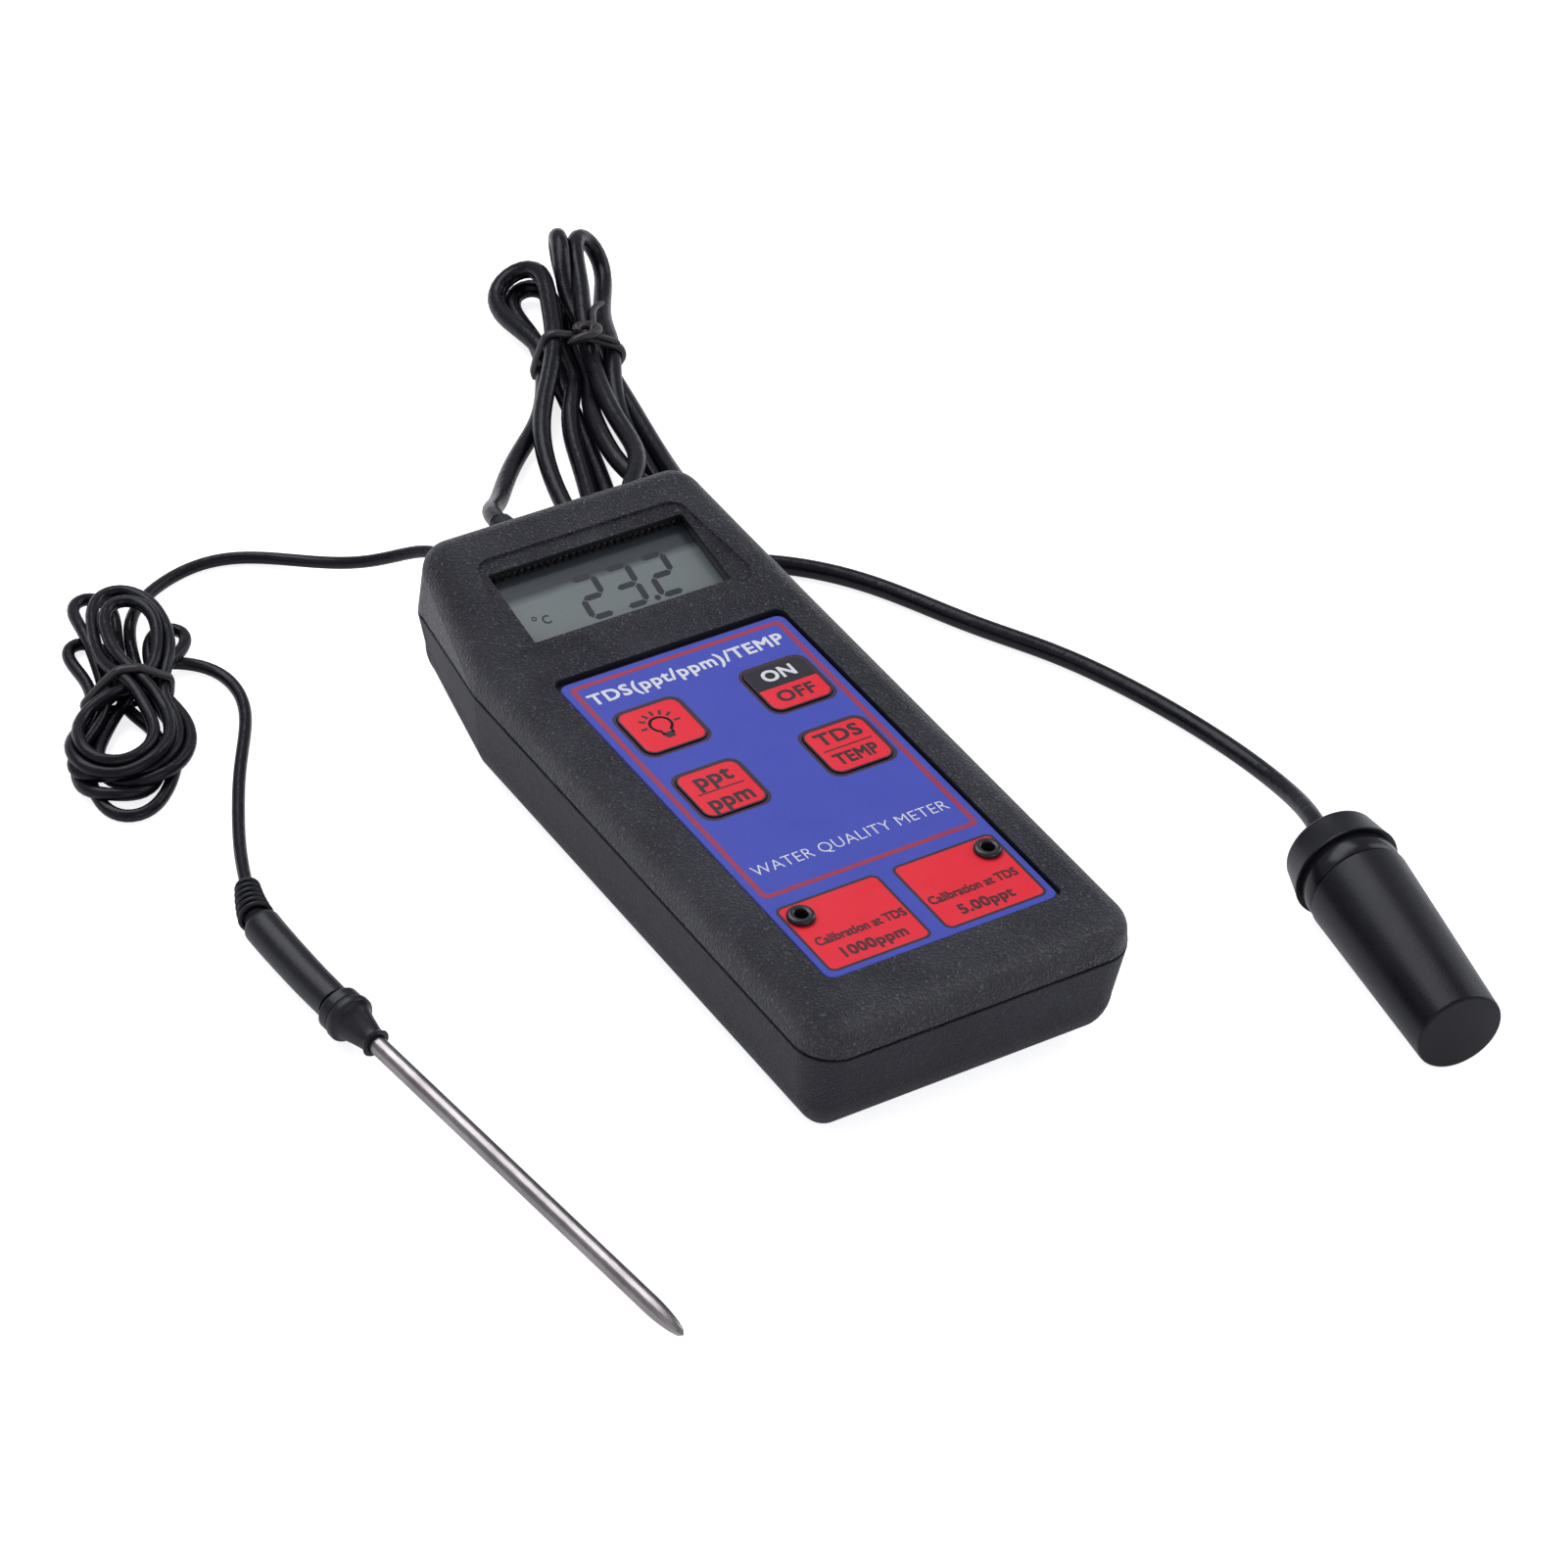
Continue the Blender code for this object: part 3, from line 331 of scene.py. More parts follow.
# The floor glows a little, and more to the camera alone. This gives a white ground and thins the shadows.
FLOOR_GLOW = 0.20
FLOOR_GLOW_TO_CAMERA = 0.60
FLOOR = plastic("floor_paper", (0.86, 0.86, 0.87), (0.90, 0.90, 0.90), 0.75, grain=0.000002, specks_and_glints=0.0)
FLOOR.node_tree.nodes["Principled BSDF"].inputs["Emission Color"].default_value = (1.0, 1.0, 1.0, 1.0)
FLOOR_SEEN = math_node(FLOOR.node_tree, "MULTIPLY_ADD",
                       FLOOR.node_tree.nodes.new("ShaderNodeLightPath").outputs[0], FLOOR_GLOW_TO_CAMERA)
FLOOR_SEEN.node.inputs[2].default_value = FLOOR_GLOW
FLOOR.node_tree.links.new(FLOOR_SEEN, FLOOR.node_tree.nodes["Principled BSDF"].inputs["Emission Strength"])
# Front shell charcoal: its dense pale specks are partly grain and partly painted glints, the sparkle of light on
# the grain.
CASING_PAINTED_GLINTS = plastic("casing_charcoal", (0.020, 0.020, 0.027), (0.28, 0.28, 0.31), 0.34, grain=0.0015,
                 pebbles=1500.0,
                 tooth=2800.0, specks_and_glints=0.46, shine=0.58)
# Rear shell: the casing charcoal made darker, with fewer and dimmer specks, as painted shade for sides that face
# away from the light; the satin finish is its roughness.
CASING_SHADED_COPY = plastic("casing_charcoal_satin_shaded_copy", (0.016, 0.016, 0.023), (0.12, 0.12, 0.14), 0.46, grain=0.00045,
                      pebbles=1900.0, tooth=4200.0, specks_and_glints=0.3, shine=0.26)
# Near-black for parts and for cut tools; the cuts hand it to the walls of the pocket, holes and display window,
# as painted shade in these recesses.
BLACK_AND_RECESS_SHADE = plastic("black_and_painted_recess_shade", (0.006, 0.006, 0.007), (0.02, 0.02, 0.02), 0.45, grain=0.00001, specks_and_glints=0.1)
BLUE = plastic("print_blue", (0.054, 0.076, 0.45), (0.085, 0.115, 0.53), 0.42, grain=0.000016, pebbles=2600.0,
               tooth=5200.0, specks_and_glints=0.12, cloud=90.0, shine=0.3)
CRIMSON = plastic("print_crimson", (0.33, 0.020, 0.075), (0.45, 0.05, 0.11), 0.40, grain=0.000010,
                  pebbles=2600.0,
                  tooth=5200.0, specks_and_glints=0.1)
RED = plastic("print_red", (0.88, 0.016, 0.034), (0.92, 0.05, 0.07), 0.36, grain=0.000014, pebbles=2600.0,
              tooth=5200.0, specks_and_glints=0.12, cloud=90.0, shine=0.3)
INK = plastic("print_dark", (0.030, 0.010, 0.016), (0.06, 0.02, 0.03), 0.38, grain=0.000005, specks_and_glints=0.1)
MAROON = plastic("print_maroon", (0.085, 0.004, 0.010), (0.12, 0.012, 0.02), 0.38, grain=0.000005, specks_and_glints=0.1)
KEY_BLACK = plastic("print_black", (0.014, 0.013, 0.018), (0.05, 0.05, 0.055), 0.36, grain=0.000010,
                    specks_and_glints=0.15,
                    shine=0.35)
WHITE = plastic("print_white", (0.74, 0.74, 0.76), (0.82, 0.82, 0.84), 0.42, grain=0.000005, specks_and_glints=0.1)
BUSHING = plastic("bushing_black", (0.010, 0.010, 0.011), (0.04, 0.04, 0.04), 0.26, grain=0.000004,
                  specks_and_glints=0.1)
SEGMENT = plastic("segment_dark", (0.020, 0.024, 0.028), (0.035, 0.04, 0.045), 0.30, grain=0.000002,
                  specks_and_glints=0.1)
LCD = display_surface("display_grey_green")
STRIP = striped_rubber("contact_strip_rubber")
LEAD = plastic("lead_jacket_black", (0.0030, 0.0030, 0.0052), (0.020, 0.020, 0.026), 0.27, grain=0.00005,
               pebbles=320.0, tooth=2200.0, specks_and_glints=0.15, shine=0.24)
PROBE = plastic("probe_black_satin", (0.0045, 0.0045, 0.0068), (0.024, 0.024, 0.030), 0.34, grain=0.000010,
                pebbles=1600.0, tooth=4000.0, specks_and_glints=0.15, shine=0.24)
NECK = plastic("probe_black_gloss", (0.004, 0.004, 0.006), (0.03, 0.03, 0.035), 0.22, grain=0.000004,
               specks_and_glints=0.1,
               shine=0.28)
RUBBER = plastic("handle_rubber_black", (0.0055, 0.0055, 0.0080), (0.028, 0.028, 0.034), 0.36, grain=0.000014,
                 pebbles=1200.0, tooth=3000.0, specks_and_glints=0.15, shine=0.34)
TIE = plastic("tie_dark", (0.016, 0.012, 0.012), (0.07, 0.05, 0.048), 0.38, grain=0.000008, specks_and_glints=0.3)
STEEL = brushed_steel("needle_steel", math.radians(-7.1))
SCREW_STEEL = brushed_steel("screw_steel", 0.3)
BRASS = plastic("trimmer_brass", (0.62, 0.42, 0.14), (0.75, 0.58, 0.28), 0.30, grain=0.000004, metallic=1.0,
                specks_and_glints=0.3)
BOARD = plastic("board_mask_green", (0.010, 0.120, 0.035), (0.04, 0.25, 0.09), 0.34, grain=0.000006,
                specks_and_glints=0.3,
                coat=0.3)
CHIP = plastic("chip_epoxy", (0.014, 0.014, 0.015), (0.06, 0.06, 0.06), 0.50, grain=0.000006, specks_and_glints=0.3)
TRIMMER = plastic("trimmer_nylon_blue", (0.02, 0.09, 0.42), (0.06, 0.16, 0.50), 0.42, grain=0.000005,
                  specks_and_glints=0.2)
FILM = plastic("diffuser_film", (0.74, 0.76, 0.73), (0.85, 0.86, 0.84), 0.48, grain=0.000003, specks_and_glints=0.2)
JACKET = plastic("battery_jacket_dark", (0.03, 0.035, 0.045), (0.16, 0.17, 0.19), 0.30, grain=0.000006,
                 metallic=0.4,
                 specks_and_glints=0.3)
VINYL = plastic("snap_vinyl_black", (0.014, 0.014, 0.014), (0.05, 0.05, 0.05), 0.48, grain=0.00001,
                specks_and_glints=0.2)
INSULATOR = plastic("insulator_grey", (0.26, 0.26, 0.25), (0.36, 0.36, 0.35), 0.48, grain=0.000006,
                    specks_and_glints=0.2)
GRAPHITE = plastic("electrode_graphite", (0.035, 0.035, 0.038), (0.12, 0.12, 0.12), 0.42, grain=0.00001,
                   metallic=0.3,
                   specks_and_glints=0.4)


# ------------------------------------------------------------------ mesh tools

def add_mesh(name, points, faces, material, smooth=35.0):
    """Mesh from millimetre points, with faces turned outwards."""
    mesh = bpy.data.meshes.new(name)
    mesh.from_pydata([Vector(p) * MM for p in points], [], faces)
    work = bmesh.new()
    work.from_mesh(mesh)
    bmesh.ops.recalc_face_normals(work, faces=work.faces)
    work.to_mesh(mesh)
    work.free()
    mesh.materials.append(material)
    mesh.shade_smooth()
    mesh.set_sharp_from_angle(angle=math.radians(smooth))
    thing = bpy.data.objects.new(name, mesh)
    bpy.context.scene.collection.objects.link(thing)
    return thing


def moved(thing, matrix):
    """Put a millimetre placement into the mesh itself."""
    scaled = matrix.copy()
    scaled.translation = matrix.translation * MM
    thing.data.transform(scaled)
    return thing


def ring_faces(start, count, levels, closed=False):
    faces = []
    for level in range(levels if closed else levels - 1):
        low = start + level * count
        high = start + ((level + 1) % levels) * count
        for i in range(count):
            j = (i + 1) % count
            faces.append((low + i, low + j, high + j, high + i))
    return faces


def stack(name, rings, material, smooth=35.0):
    count = len(rings[0])
    points = [p for ring in rings for p in ring]
    faces = ring_faces(0, count, len(rings))
    faces.append(tuple(range(count)))
    faces.append(tuple(range(len(points) - count, len(points))))
    return add_mesh(name, points, faces, material, smooth)


def turned(name, profile, material, sides=64, smooth=35.0):
    """Solid of revolution about Z from (radius, height) pairs."""
    rings = []
    for radius, height in profile:
        rings.append([(radius * math.cos(2 * math.pi * s / sides), radius * math.sin(2 * math.pi * s / sides),
                       height)
                      for s in range(sides)])
    return stack(name, rings, material, smooth)


def rounded_outline(x_low, y_low, x_high, y_high, radius, steps=8):
    points = []
    for x, y, start in ((x_high - radius, y_high - radius, 0), (x_low + radius, y_high - radius, 90),
                        (x_low + radius, y_low + radius, 180), (x_high - radius, y_low + radius, 270)):
        for step in range(steps + 1):
            angle = math.radians(start + 90.0 * step / steps)
            points.append((x + radius * math.cos(angle), y + radius * math.sin(angle)))
    return points


def plate(name, outline, bottom, top, material):
    return stack(name, [[(x, y, z) for x, y in outline] for z in (bottom, top)], material)


def box(name, low, high, material):
    outline = ((low[0], low[1]), (high[0], low[1]), (high[0], high[1]), (low[0], high[1]))
    return plate(name, outline, low[2], high[2], material)


def axis_matrix(start, end):
    direction = Vector(end) - Vector(start)
    return Matrix.Translation(start) @ direction.to_track_quat("Z", "Y").to_matrix().to_4x4()


def bake(thing):
    """Turn an object and its modifiers into a plain mesh."""
    bpy.context.view_layer.update()
    result = bpy.data.meshes.new_from_object(thing.evaluated_get(bpy.context.evaluated_depsgraph_get()))
    name = thing.name
    materials = [m for m in thing.data.materials]
    bpy.data.objects.remove(thing, do_unlink=True)
    solid = bpy.data.objects.new(name, result)
    if not [m for m in result.materials if m]:
        result.materials.clear()
        for material in materials:
            result.materials.append(material)
    bpy.context.scene.collection.objects.link(solid)
    return solid


def cut(target, tool, operation="DIFFERENCE"):
    modifier = target.modifiers.new("cut", "BOOLEAN")
    modifier.object = tool
    modifier.operation = operation
    modifier.solver = "EXACT"
    # The cut walls take the tool's material, so near-black tools paint shade into holes and recesses.
    modifier.material_mode = "TRANSFER"
    bpy.context.view_layer.update()
    result = bpy.data.meshes.new_from_object(target.evaluated_get(bpy.context.evaluated_depsgraph_get()))
    target.modifiers.clear()
    target.data = result
    bpy.data.objects.remove(tool, do_unlink=True)
    return target


def finish_shading(thing, angle=35.0):
    thing.data.shade_smooth()
    thing.data.set_sharp_from_angle(angle=math.radians(angle))
    return thing


def ride(thing, body=METER, nodes=()):
    """Attach a finished piece to its body and hide what it stands for."""
    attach(thing, body)
    if nodes:
        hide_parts(*nodes)
    return thing


def join(name, things):
    """Merge several meshes into one piece."""
    work = bmesh.new()
    materials = []
    for thing in things:
        offset = len(work.faces)
        work.from_mesh(thing.data)
        work.faces.ensure_lookup_table()
        for material in thing.data.materials:
            if material not in materials:
                materials.append(material)
        for face in work.faces[offset:]:
            face.material_index = materials.index(thing.data.materials[face.material_index])
    mesh = bpy.data.meshes.new(name)
    work.to_mesh(mesh)
    work.free()
    for material in materials:
        mesh.materials.append(material)
    for thing in things:
        bpy.data.objects.remove(thing, do_unlink=True)
    merged = bpy.data.objects.new(name, mesh)
    bpy.context.scene.collection.objects.link(merged)
    return merged


# ------------------------------------------------------------------ leads

# height of the arc over 2.5 diameters of lead at the tightest fold, in diameters
FOLD_HEIGHT = 0.36
# How a lead settles: lengths in diameters
POINT_SPACING = 0.62
LARGEST_PUSH = 0.25
# shares of each error put right in one round, and the share of the pull home that is kept near a fold
PUSH = 0.22
BEND_EASE = 0.16
FOLD_EASE = 0.50
HOME_PULL = 0.014
LATE_HOME_PULL = 0.002
FOLD_HOLD = 0.12
# counts: rounds in all, last rounds with the weaker pull, final smoothing rounds, and points
SETTLE_ROUNDS = 300
FREE_ROUNDS = 110
SMOOTHING_ROUNDS = 10
FOLD_REACH = 15
NEIGHBOURS = 5
PINNED = 5
# clearance over the ground and around a tied strand, in millimetres
GROUND_GAP = 0.03
TIE_GAP = 0.12
# how far to either side a tie takes in strands
PROBE_TIE_REACH = 12.5
SENSOR_TIE_REACH = 10.5
PROBE_LEAD_ROUTE = (
    (0.0, 106.6, 20.0), (0.3, 110.5, 19.6), (3.0, 116.0, 16.5), (8.0, 121.5, 11.5), (13.5, 128.5, 7.0),
    (20.8, 138.0, 4.4),
    (27.8, 145.4, 3.0), (34.8, 151.7, 2.4), (42.1, 157.4, 2.3), (48.5, 163.5, 2.3), (54.3, 173.3, 2.3),
    # first upper loop, small, on the left
    (57.5, 183.8, 2.3), (60.5, 195.5, 2.6), (63.8, 205.4, 3.2), (68.9, 210.0, 4.4), (70.6, 205.3, 4.4),
    (67.1, 195.7, 3.6),
    (63.6, 185.1, 2.6), (59.4, 172.6, 2.3),
    # left strand down, lower loop in the middle layer, and up again
    (52.0, 161.2, 4.0), (47.6, 154.3, 4.0), (43.9, 145.6, 4.0), (40.1, 134.9, 4.0), (37.0, 126.8, 3.6),
    (32.8, 117.0, 3.6),
    (31.8, 108.0, 4.6), (35.0, 99.8, 6.4), (41.5, 97.0, 6.8), (48.5, 101.0, 6.8), (50.3, 109.0, 6.8),
    (48.6, 119.0, 6.8),
    (45.9, 127.0, 6.8), (47.7, 135.8, 6.8), (50.3, 145.6, 6.8), (54.5, 157.1, 5.4), (63.3, 171.0, 2.4),
    # second upper loop, tall and narrow
    (67.3, 181.7, 2.4), (70.5, 192.0, 3.6), (74.7, 204.0, 6.4), (77.7, 210.6, 9.5), (80.0, 213.7, 12.4),
    (79.6, 211.5, 14.6),
    (76.3, 205.0, 14.6), (71.6, 197.0, 12.0), (67.7, 186.6, 7.6), (67.2, 169.4, 2.4),
    # right-hand strand down, top lower loop, and up again
    (65.0, 156.8, 2.4), (62.8, 146.6, 2.4), (61.0, 137.4, 2.6), (58.6, 126.8, 3.0), (55.2, 117.0, 5.0),
    (53.0, 107.0, 8.0),
    (48.5, 99.0, 10.6), (41.0, 96.5, 11.2), (35.5, 101.5, 11.2), (36.2, 109.5, 11.2), (43.2, 117.5, 11.0),
    (50.6, 126.0, 9.0),
    (53.1, 135.2, 8.0), (54.3, 143.6, 8.0), (56.0, 151.8, 8.0), (58.9, 159.5, 8.0), (63.6, 170.8, 7.0),
    # third upper loop, on the right
    (67.0, 180.0, 8.8), (71.1, 190.1, 10.5), (76.6, 200.8, 12.2), (81.5, 208.0, 13.0), (86.0, 211.8, 12.0),
    (88.8, 210.9, 8.6),
    (86.9, 204.0, 5.4), (81.0, 194.6, 3.0), (76.6, 186.0, 2.6), (68.6, 168.6, 6.8),
    # hidden strand down, bottom lower loop, and up again
    (62.5, 157.5, 4.6), (59.2, 147.0, 2.6), (56.8, 137.0, 2.4), (55.0, 127.0, 2.4), (53.4, 118.0, 2.4),
    (52.2, 109.0, 2.4),
    (48.0, 101.0, 2.4), (41.6, 97.6, 2.4), (36.2, 101.5, 2.4), (35.8, 110.0, 2.4), (39.2, 119.0, 2.4),
    (42.2, 128.0, 2.4),
    (45.0, 138.0, 2.4), (48.4, 148.0, 2.4), (51.5, 159.0, 3.0), (55.6, 174.6, 6.8),
    # outer upper loop on the left, and the strand that comes down over everything
    (54.1, 184.7, 6.4), (54.4, 194.6, 5.0), (56.9, 203.5, 4.6), (61.8, 208.9, 5.6), (66.3, 208.8, 8.6),
    (69.2, 204.9, 10.5),
    (68.2, 199.1, 11.0), (64.2, 191.4, 10.6), (60.0, 183.0, 10.2), (57.4, 176.5, 10.6), (54.4, 172.1, 10.2),
    (50.6, 167.0, 9.4),
    (45.5, 160.4, 8.2), (39.3, 153.3, 7.6), (35.5, 146.2, 6.0), (32.7, 138.8, 4.4), (31.0, 131.8, 3.0),
    (29.4, 124.4, 2.4),
    (27.9, 116.0, 2.3), (27.6, 107.0, 2.3), (31.0, 98.6, 2.3), (39.0, 93.4, 2.3), (49.6, 90.5, 2.3),
    (59.9, 85.8, 2.3),
    (68.7, 78.1, 2.3), (75.7, 70.5, 2.3), (83.6, 56.4, 2.3), (90.9, 41.9, 2.3), (98.5, 30.5, 2.3),
    (104.4, 18.9, 2.3),
    (110.8, 1.9, 2.3), (115.2, -14.9, 2.5), (117.3, -31.0, 3.4), (115.8, -45.2, 6.2), (112.3, -55.5, 10.0),
    (109.3, -62.6, 12.1),
    (107.14, -68.3, 12.7),
)
SENSOR_LEAD_ROUTE = (
    (-18.0, 103.1, 20.0), (-18.4, 106.5, 18.8), (-20.2, 111.5, 15.4), (-22.8, 116.2, 11.6),
    (-27.8, 124.6, 6.0), (-35.2, 134.4, 2.6),
    (-41.1, 140.4, 1.6), (-48.5, 144.4, 1.5), (-55.0, 145.5, 1.5), (-63.6, 144.2, 1.5), (-71.7, 140.6, 1.8),
    (-79.0, 135.3, 2.0),
    (-84.5, 126.0, 1.6), (-87.6, 116.0, 1.6), (-89.7, 107.5, 1.6),
    # lowest and widest lower loop
    (-89.0, 98.0, 1.6), (-91.8, 88.6, 1.6), (-97.7, 80.6, 1.6), (-101.0, 76.4, 1.6), (-107.7, 71.6, 1.6),
    (-112.9, 71.0, 1.6),
    (-116.3, 74.8, 1.6), (-116.5, 82.0, 1.6), (-113.5, 91.0, 1.6), (-107.0, 100.5, 1.6), (-98.2, 109.5, 1.6),
    # tall upper loop on the left
    (-95.4, 116.0, 2.4), (-93.8, 124.4, 3.0), (-92.4, 133.3, 3.0), (-90.2, 141.4, 3.0), (-86.6, 146.2, 3.0),
    (-83.2, 144.8, 3.0),
    (-82.9, 139.0, 2.4), (-86.0, 129.0, 1.8), (-90.0, 119.0, 1.6), (-95.4, 108.8, 1.6), (-94.5, 98.0, 2.2),
    (-95.5, 88.0, 3.0),
    (-100.4, 80.4, 3.4), (-104.5, 77.2, 3.6), (-111.0, 75.6, 3.8), (-115.4, 78.0, 3.4), (-117.2, 84.5, 2.6),
    (-115.0, 92.0, 2.0),
    (-108.4, 101.0, 1.6), (-101.0, 110.2, 1.6),
    # small upper loop on the left
    (-99.4, 116.8, 1.8), (-98.2, 125.0, 2.0), (-97.3, 130.9, 2.0), (-94.6, 134.4, 2.0), (-91.8, 132.2, 2.0),
    (-92.3, 125.8, 2.0),
    (-94.2, 119.2, 2.6), (-96.8, 109.2, 4.4), (-104.0, 101.6, 4.2), (-111.0, 96.4, 3.6), (-116.6, 92.1, 3.0),
    (-118.2, 87.5, 3.0),
    (-114.9, 83.4, 3.8), (-108.0, 79.9, 4.8), (-101.0, 79.9, 5.0), (-94.3, 84.5, 5.0), (-90.0, 92.0, 5.0),
    (-88.6, 100.0, 5.0),
    (-88.4, 107.2, 4.6),
    # outer upper loop
    (-83.4, 111.5, 6.0), (-77.9, 119.5, 6.5), (-75.7, 128.1, 6.5), (-76.5, 135.8, 6.5), (-80.1, 140.6, 6.5),
    (-84.8, 140.2, 6.5),
    (-89.6, 134.3, 6.5), (-94.1, 123.8, 6.5), (-96.6, 113.8, 6.8), (-95.6, 106.4, 7.2), (-95.2, 98.0, 7.2),
    (-96.5, 90.3, 7.2),
    (-100.8, 84.6, 7.2), (-107.3, 82.3, 7.2), (-113.0, 83.1, 7.2), (-116.0, 88.2, 7.2), (-114.2, 95.2, 7.2),
    (-109.3, 101.4, 7.0),
    (-101.4, 105.6, 6.4), (-92.4, 107.4, 5.6),
    # inner upper loop
    (-86.4, 110.5, 6.6), (-82.0, 116.3, 7.4), (-79.2, 123.1, 8.2), (-78.9, 130.3, 8.4), (-80.9, 134.7, 8.4),
    (-84.3, 134.9, 8.4),
    (-88.0, 130.6, 8.4), (-91.4, 123.0, 8.4), (-93.4, 113.4, 8.6), (-91.4, 107.4, 8.0), (-90.4, 100.0, 6.6),
    (-91.7, 92.3, 6.2),
    (-95.2, 85.2, 6.2), (-100.7, 81.4, 6.2), (-107.4, 80.6, 6.2), (-113.5, 81.2, 5.6), (-117.0, 85.8, 5.0),
    (-116.4, 92.0, 4.8),
    (-111.4, 99.0, 4.4), (-103.0, 104.4, 4.4), (-93.4, 109.2, 4.2),
    # loop on the right
    (-83.6, 111.3, 3.6), (-77.4, 117.2, 3.0), (-72.6, 122.6, 2.8), (-71.5, 126.6, 2.8), (-73.6, 128.4, 2.8),
    (-77.6, 126.0, 2.6),
    (-82.6, 118.0, 2.4), (-86.9, 106.8, 2.0), (-86.2, 99.4, 3.0), (-88.1, 90.6, 3.8), (-93.1, 83.0, 4.4),
    (-99.1, 79.0, 4.8),
    (-105.8, 78.6, 4.6), (-111.5, 81.0, 3.8), (-113.0, 87.6, 3.0), (-109.0, 95.6, 2.8), (-101.4, 103.4, 2.8),
    (-92.6, 109.6, 3.2),
    (-86.4, 113.8, 2.6), (-80.3, 115.4, 2.0), (-76.4, 114.8, 1.6), (-72.7, 111.8, 1.5), (-70.6, 106.6, 1.5),
    (-70.2, 101.4, 1.5),
    (-72.3, 93.4, 1.5), (-77.2, 85.2, 1.5), (-84.4, 74.3, 1.5), (-90.6, 63.4, 1.5), (-96.8, 51.4, 2.0),
    (-101.0, 41.6, 2.9),
    (-102.2, 38.4, 3.2),
)


def even_points(points, spacing):
    """Resample a polyline at even spacing."""
    points = np.asarray(points, dtype=float)
    steps = np.linalg.norm(np.diff(points, axis=0), axis=1)
    along = np.concatenate(([0.0], np.cumsum(steps)))
    count = max(2, int(round(along[-1] / spacing)))
    marks = np.linspace(0.0, along[-1], count + 1)
    return np.stack([np.interp(marks, along, points[:, axis]) for axis in range(3)], axis=1)


def smooth_curve(route, spacing):
    """Smooth curve through route points, sampled evenly."""
    points = np.asarray(route, dtype=float)
    padded = np.vstack((2 * points[0] - points[1], points, 2 * points[-1] - points[-2]))
    dense = []
    for i in range(1, len(padded) - 2):
        a, b, c, d = padded[i - 1:i + 3]
        for t in np.linspace(0.0, 1.0, 12, endpoint=False):
            dense.append(0.5 * (2 * b + (c - a) * t + (2 * a - 5 * b + 4 * c - d) * t ** 2
                                + (3 * b - a - 3 * c + d) * t ** 3))
    dense.append(points[-1])
    return even_points(dense, spacing)


def settle(route, diameter):
    """Let a lead's strands push each other apart and rest on the ground, near their route."""
    spacing = diameter * POINT_SPACING
    home = smooth_curve(route, spacing)
    points = home.copy()
    count = len(points)
    index = np.arange(count)
    apart = np.abs(index[:, None] - index[None, :]) > NEIGHBOURS
    length = np.linalg.norm(np.diff(home, axis=0), axis=1).mean()
    sharp = np.linalg.norm(0.5 * (home[:-4] + home[4:]) - home[2:-2], axis=1) > FOLD_HEIGHT * diameter
    near_fold = np.convolve(np.pad(sharp, 2), np.ones(FOLD_REACH), "same") > 0.5
    hold = np.where(near_fold, FOLD_HOLD, 1.0)[:, None]
    for number in range(SETTLE_ROUNDS):
        gap = points[:, None, :] - points[None, :, :]
        distance = np.linalg.norm(gap, axis=2) + 1e-9
        press = np.where(apart & (distance < diameter), (diameter - distance) / distance, 0.0)
        push = (gap * press[:, :, None]).sum(axis=1) * PUSH
        limit = np.maximum(1.0, np.linalg.norm(push, axis=1, keepdims=True) / (LARGEST_PUSH * diameter))
        points += push / limit
        middle = 0.5 * (points[:-2] + points[2:])
        bend = middle - points[1:-1]
        points[1:-1] += BEND_EASE * bend
        points[:-2] -= BEND_EASE / 2.0 * bend
        points[2:] -= BEND_EASE / 2.0 * bend
        fold = 0.5 * (points[:-4] + points[4:]) - points[2:-2]
        height = np.linalg.norm(fold, axis=1, keepdims=True) + 1e-9
        ease = fold * np.maximum(0.0, 1.0 - FOLD_HEIGHT * diameter / height)
        points[2:-2] += FOLD_EASE * ease
        points[:-4] -= FOLD_EASE / 2.0 * ease
        points[4:] -= FOLD_EASE / 2.0 * ease
        step = np.diff(points, axis=0)
        size = np.linalg.norm(step, axis=1, keepdims=True)
        fix = step * (1.0 - length / size) * 0.5
        points[:-1] += 0.5 * fix
        points[1:] -= 0.5 * fix
        points += (home - points) * hold * (HOME_PULL if number < SETTLE_ROUNDS - FREE_ROUNDS else LATE_HOME_PULL)
        points[:, 2] = np.maximum(points[:, 2], diameter / 2.0 + GROUND_GAP)
        points[:PINNED] = home[:PINNED]
        points[-PINNED:] = home[-PINNED:]
    for _ in range(SMOOTHING_ROUNDS):
        points[1:-1] += 0.25 * (points[:-2] + points[2:] - 2.0 * points[1:-1])
    return points


def lead(name, points, diameter, material):
    """Round lead as one open spline with a full bevel."""
    curve = bpy.data.curves.new(name, "CURVE")
    curve.dimensions = "3D"
    curve.bevel_depth = diameter / 2.0 * MM
    curve.bevel_resolution = 5
    curve.use_fill_caps = True
    spline = curve.splines.new("POLY")
    spline.points.add(len(points) - 1)
    for slot, point in zip(spline.points, points):
        slot.co = (*(Vector(point) * MM), 1.0)
    spline.use_smooth = True
    curve.materials.append(material)
    thing = bpy.data.objects.new(name, curve)
    bpy.context.scene.collection.objects.link(thing)
    return thing


def strand_centres(points, centre, along, reach):
    """Where a lead crosses the tie's plane, as (across, height) pairs."""
    centre = np.array([centre[0], centre[1]])
    along = np.array(along) / np.hypot(*along)
    across = np.array([along[1], -along[0]])
    depth = (points[:, :2] - centre) @ along
    side = (points[:, :2] - centre) @ across
    found = []
    for i in range(len(points) - 1):
        if depth[i] * depth[i + 1] <= 0.0 and abs(side[i]) < reach:
            share = depth[i] / (depth[i] - depth[i + 1] + 1e-12)
            found.append((side[i] + share * (side[i + 1] - side[i]),
                          points[i, 2] + share * (points[i + 1, 2] - points[i, 2])))
    return found


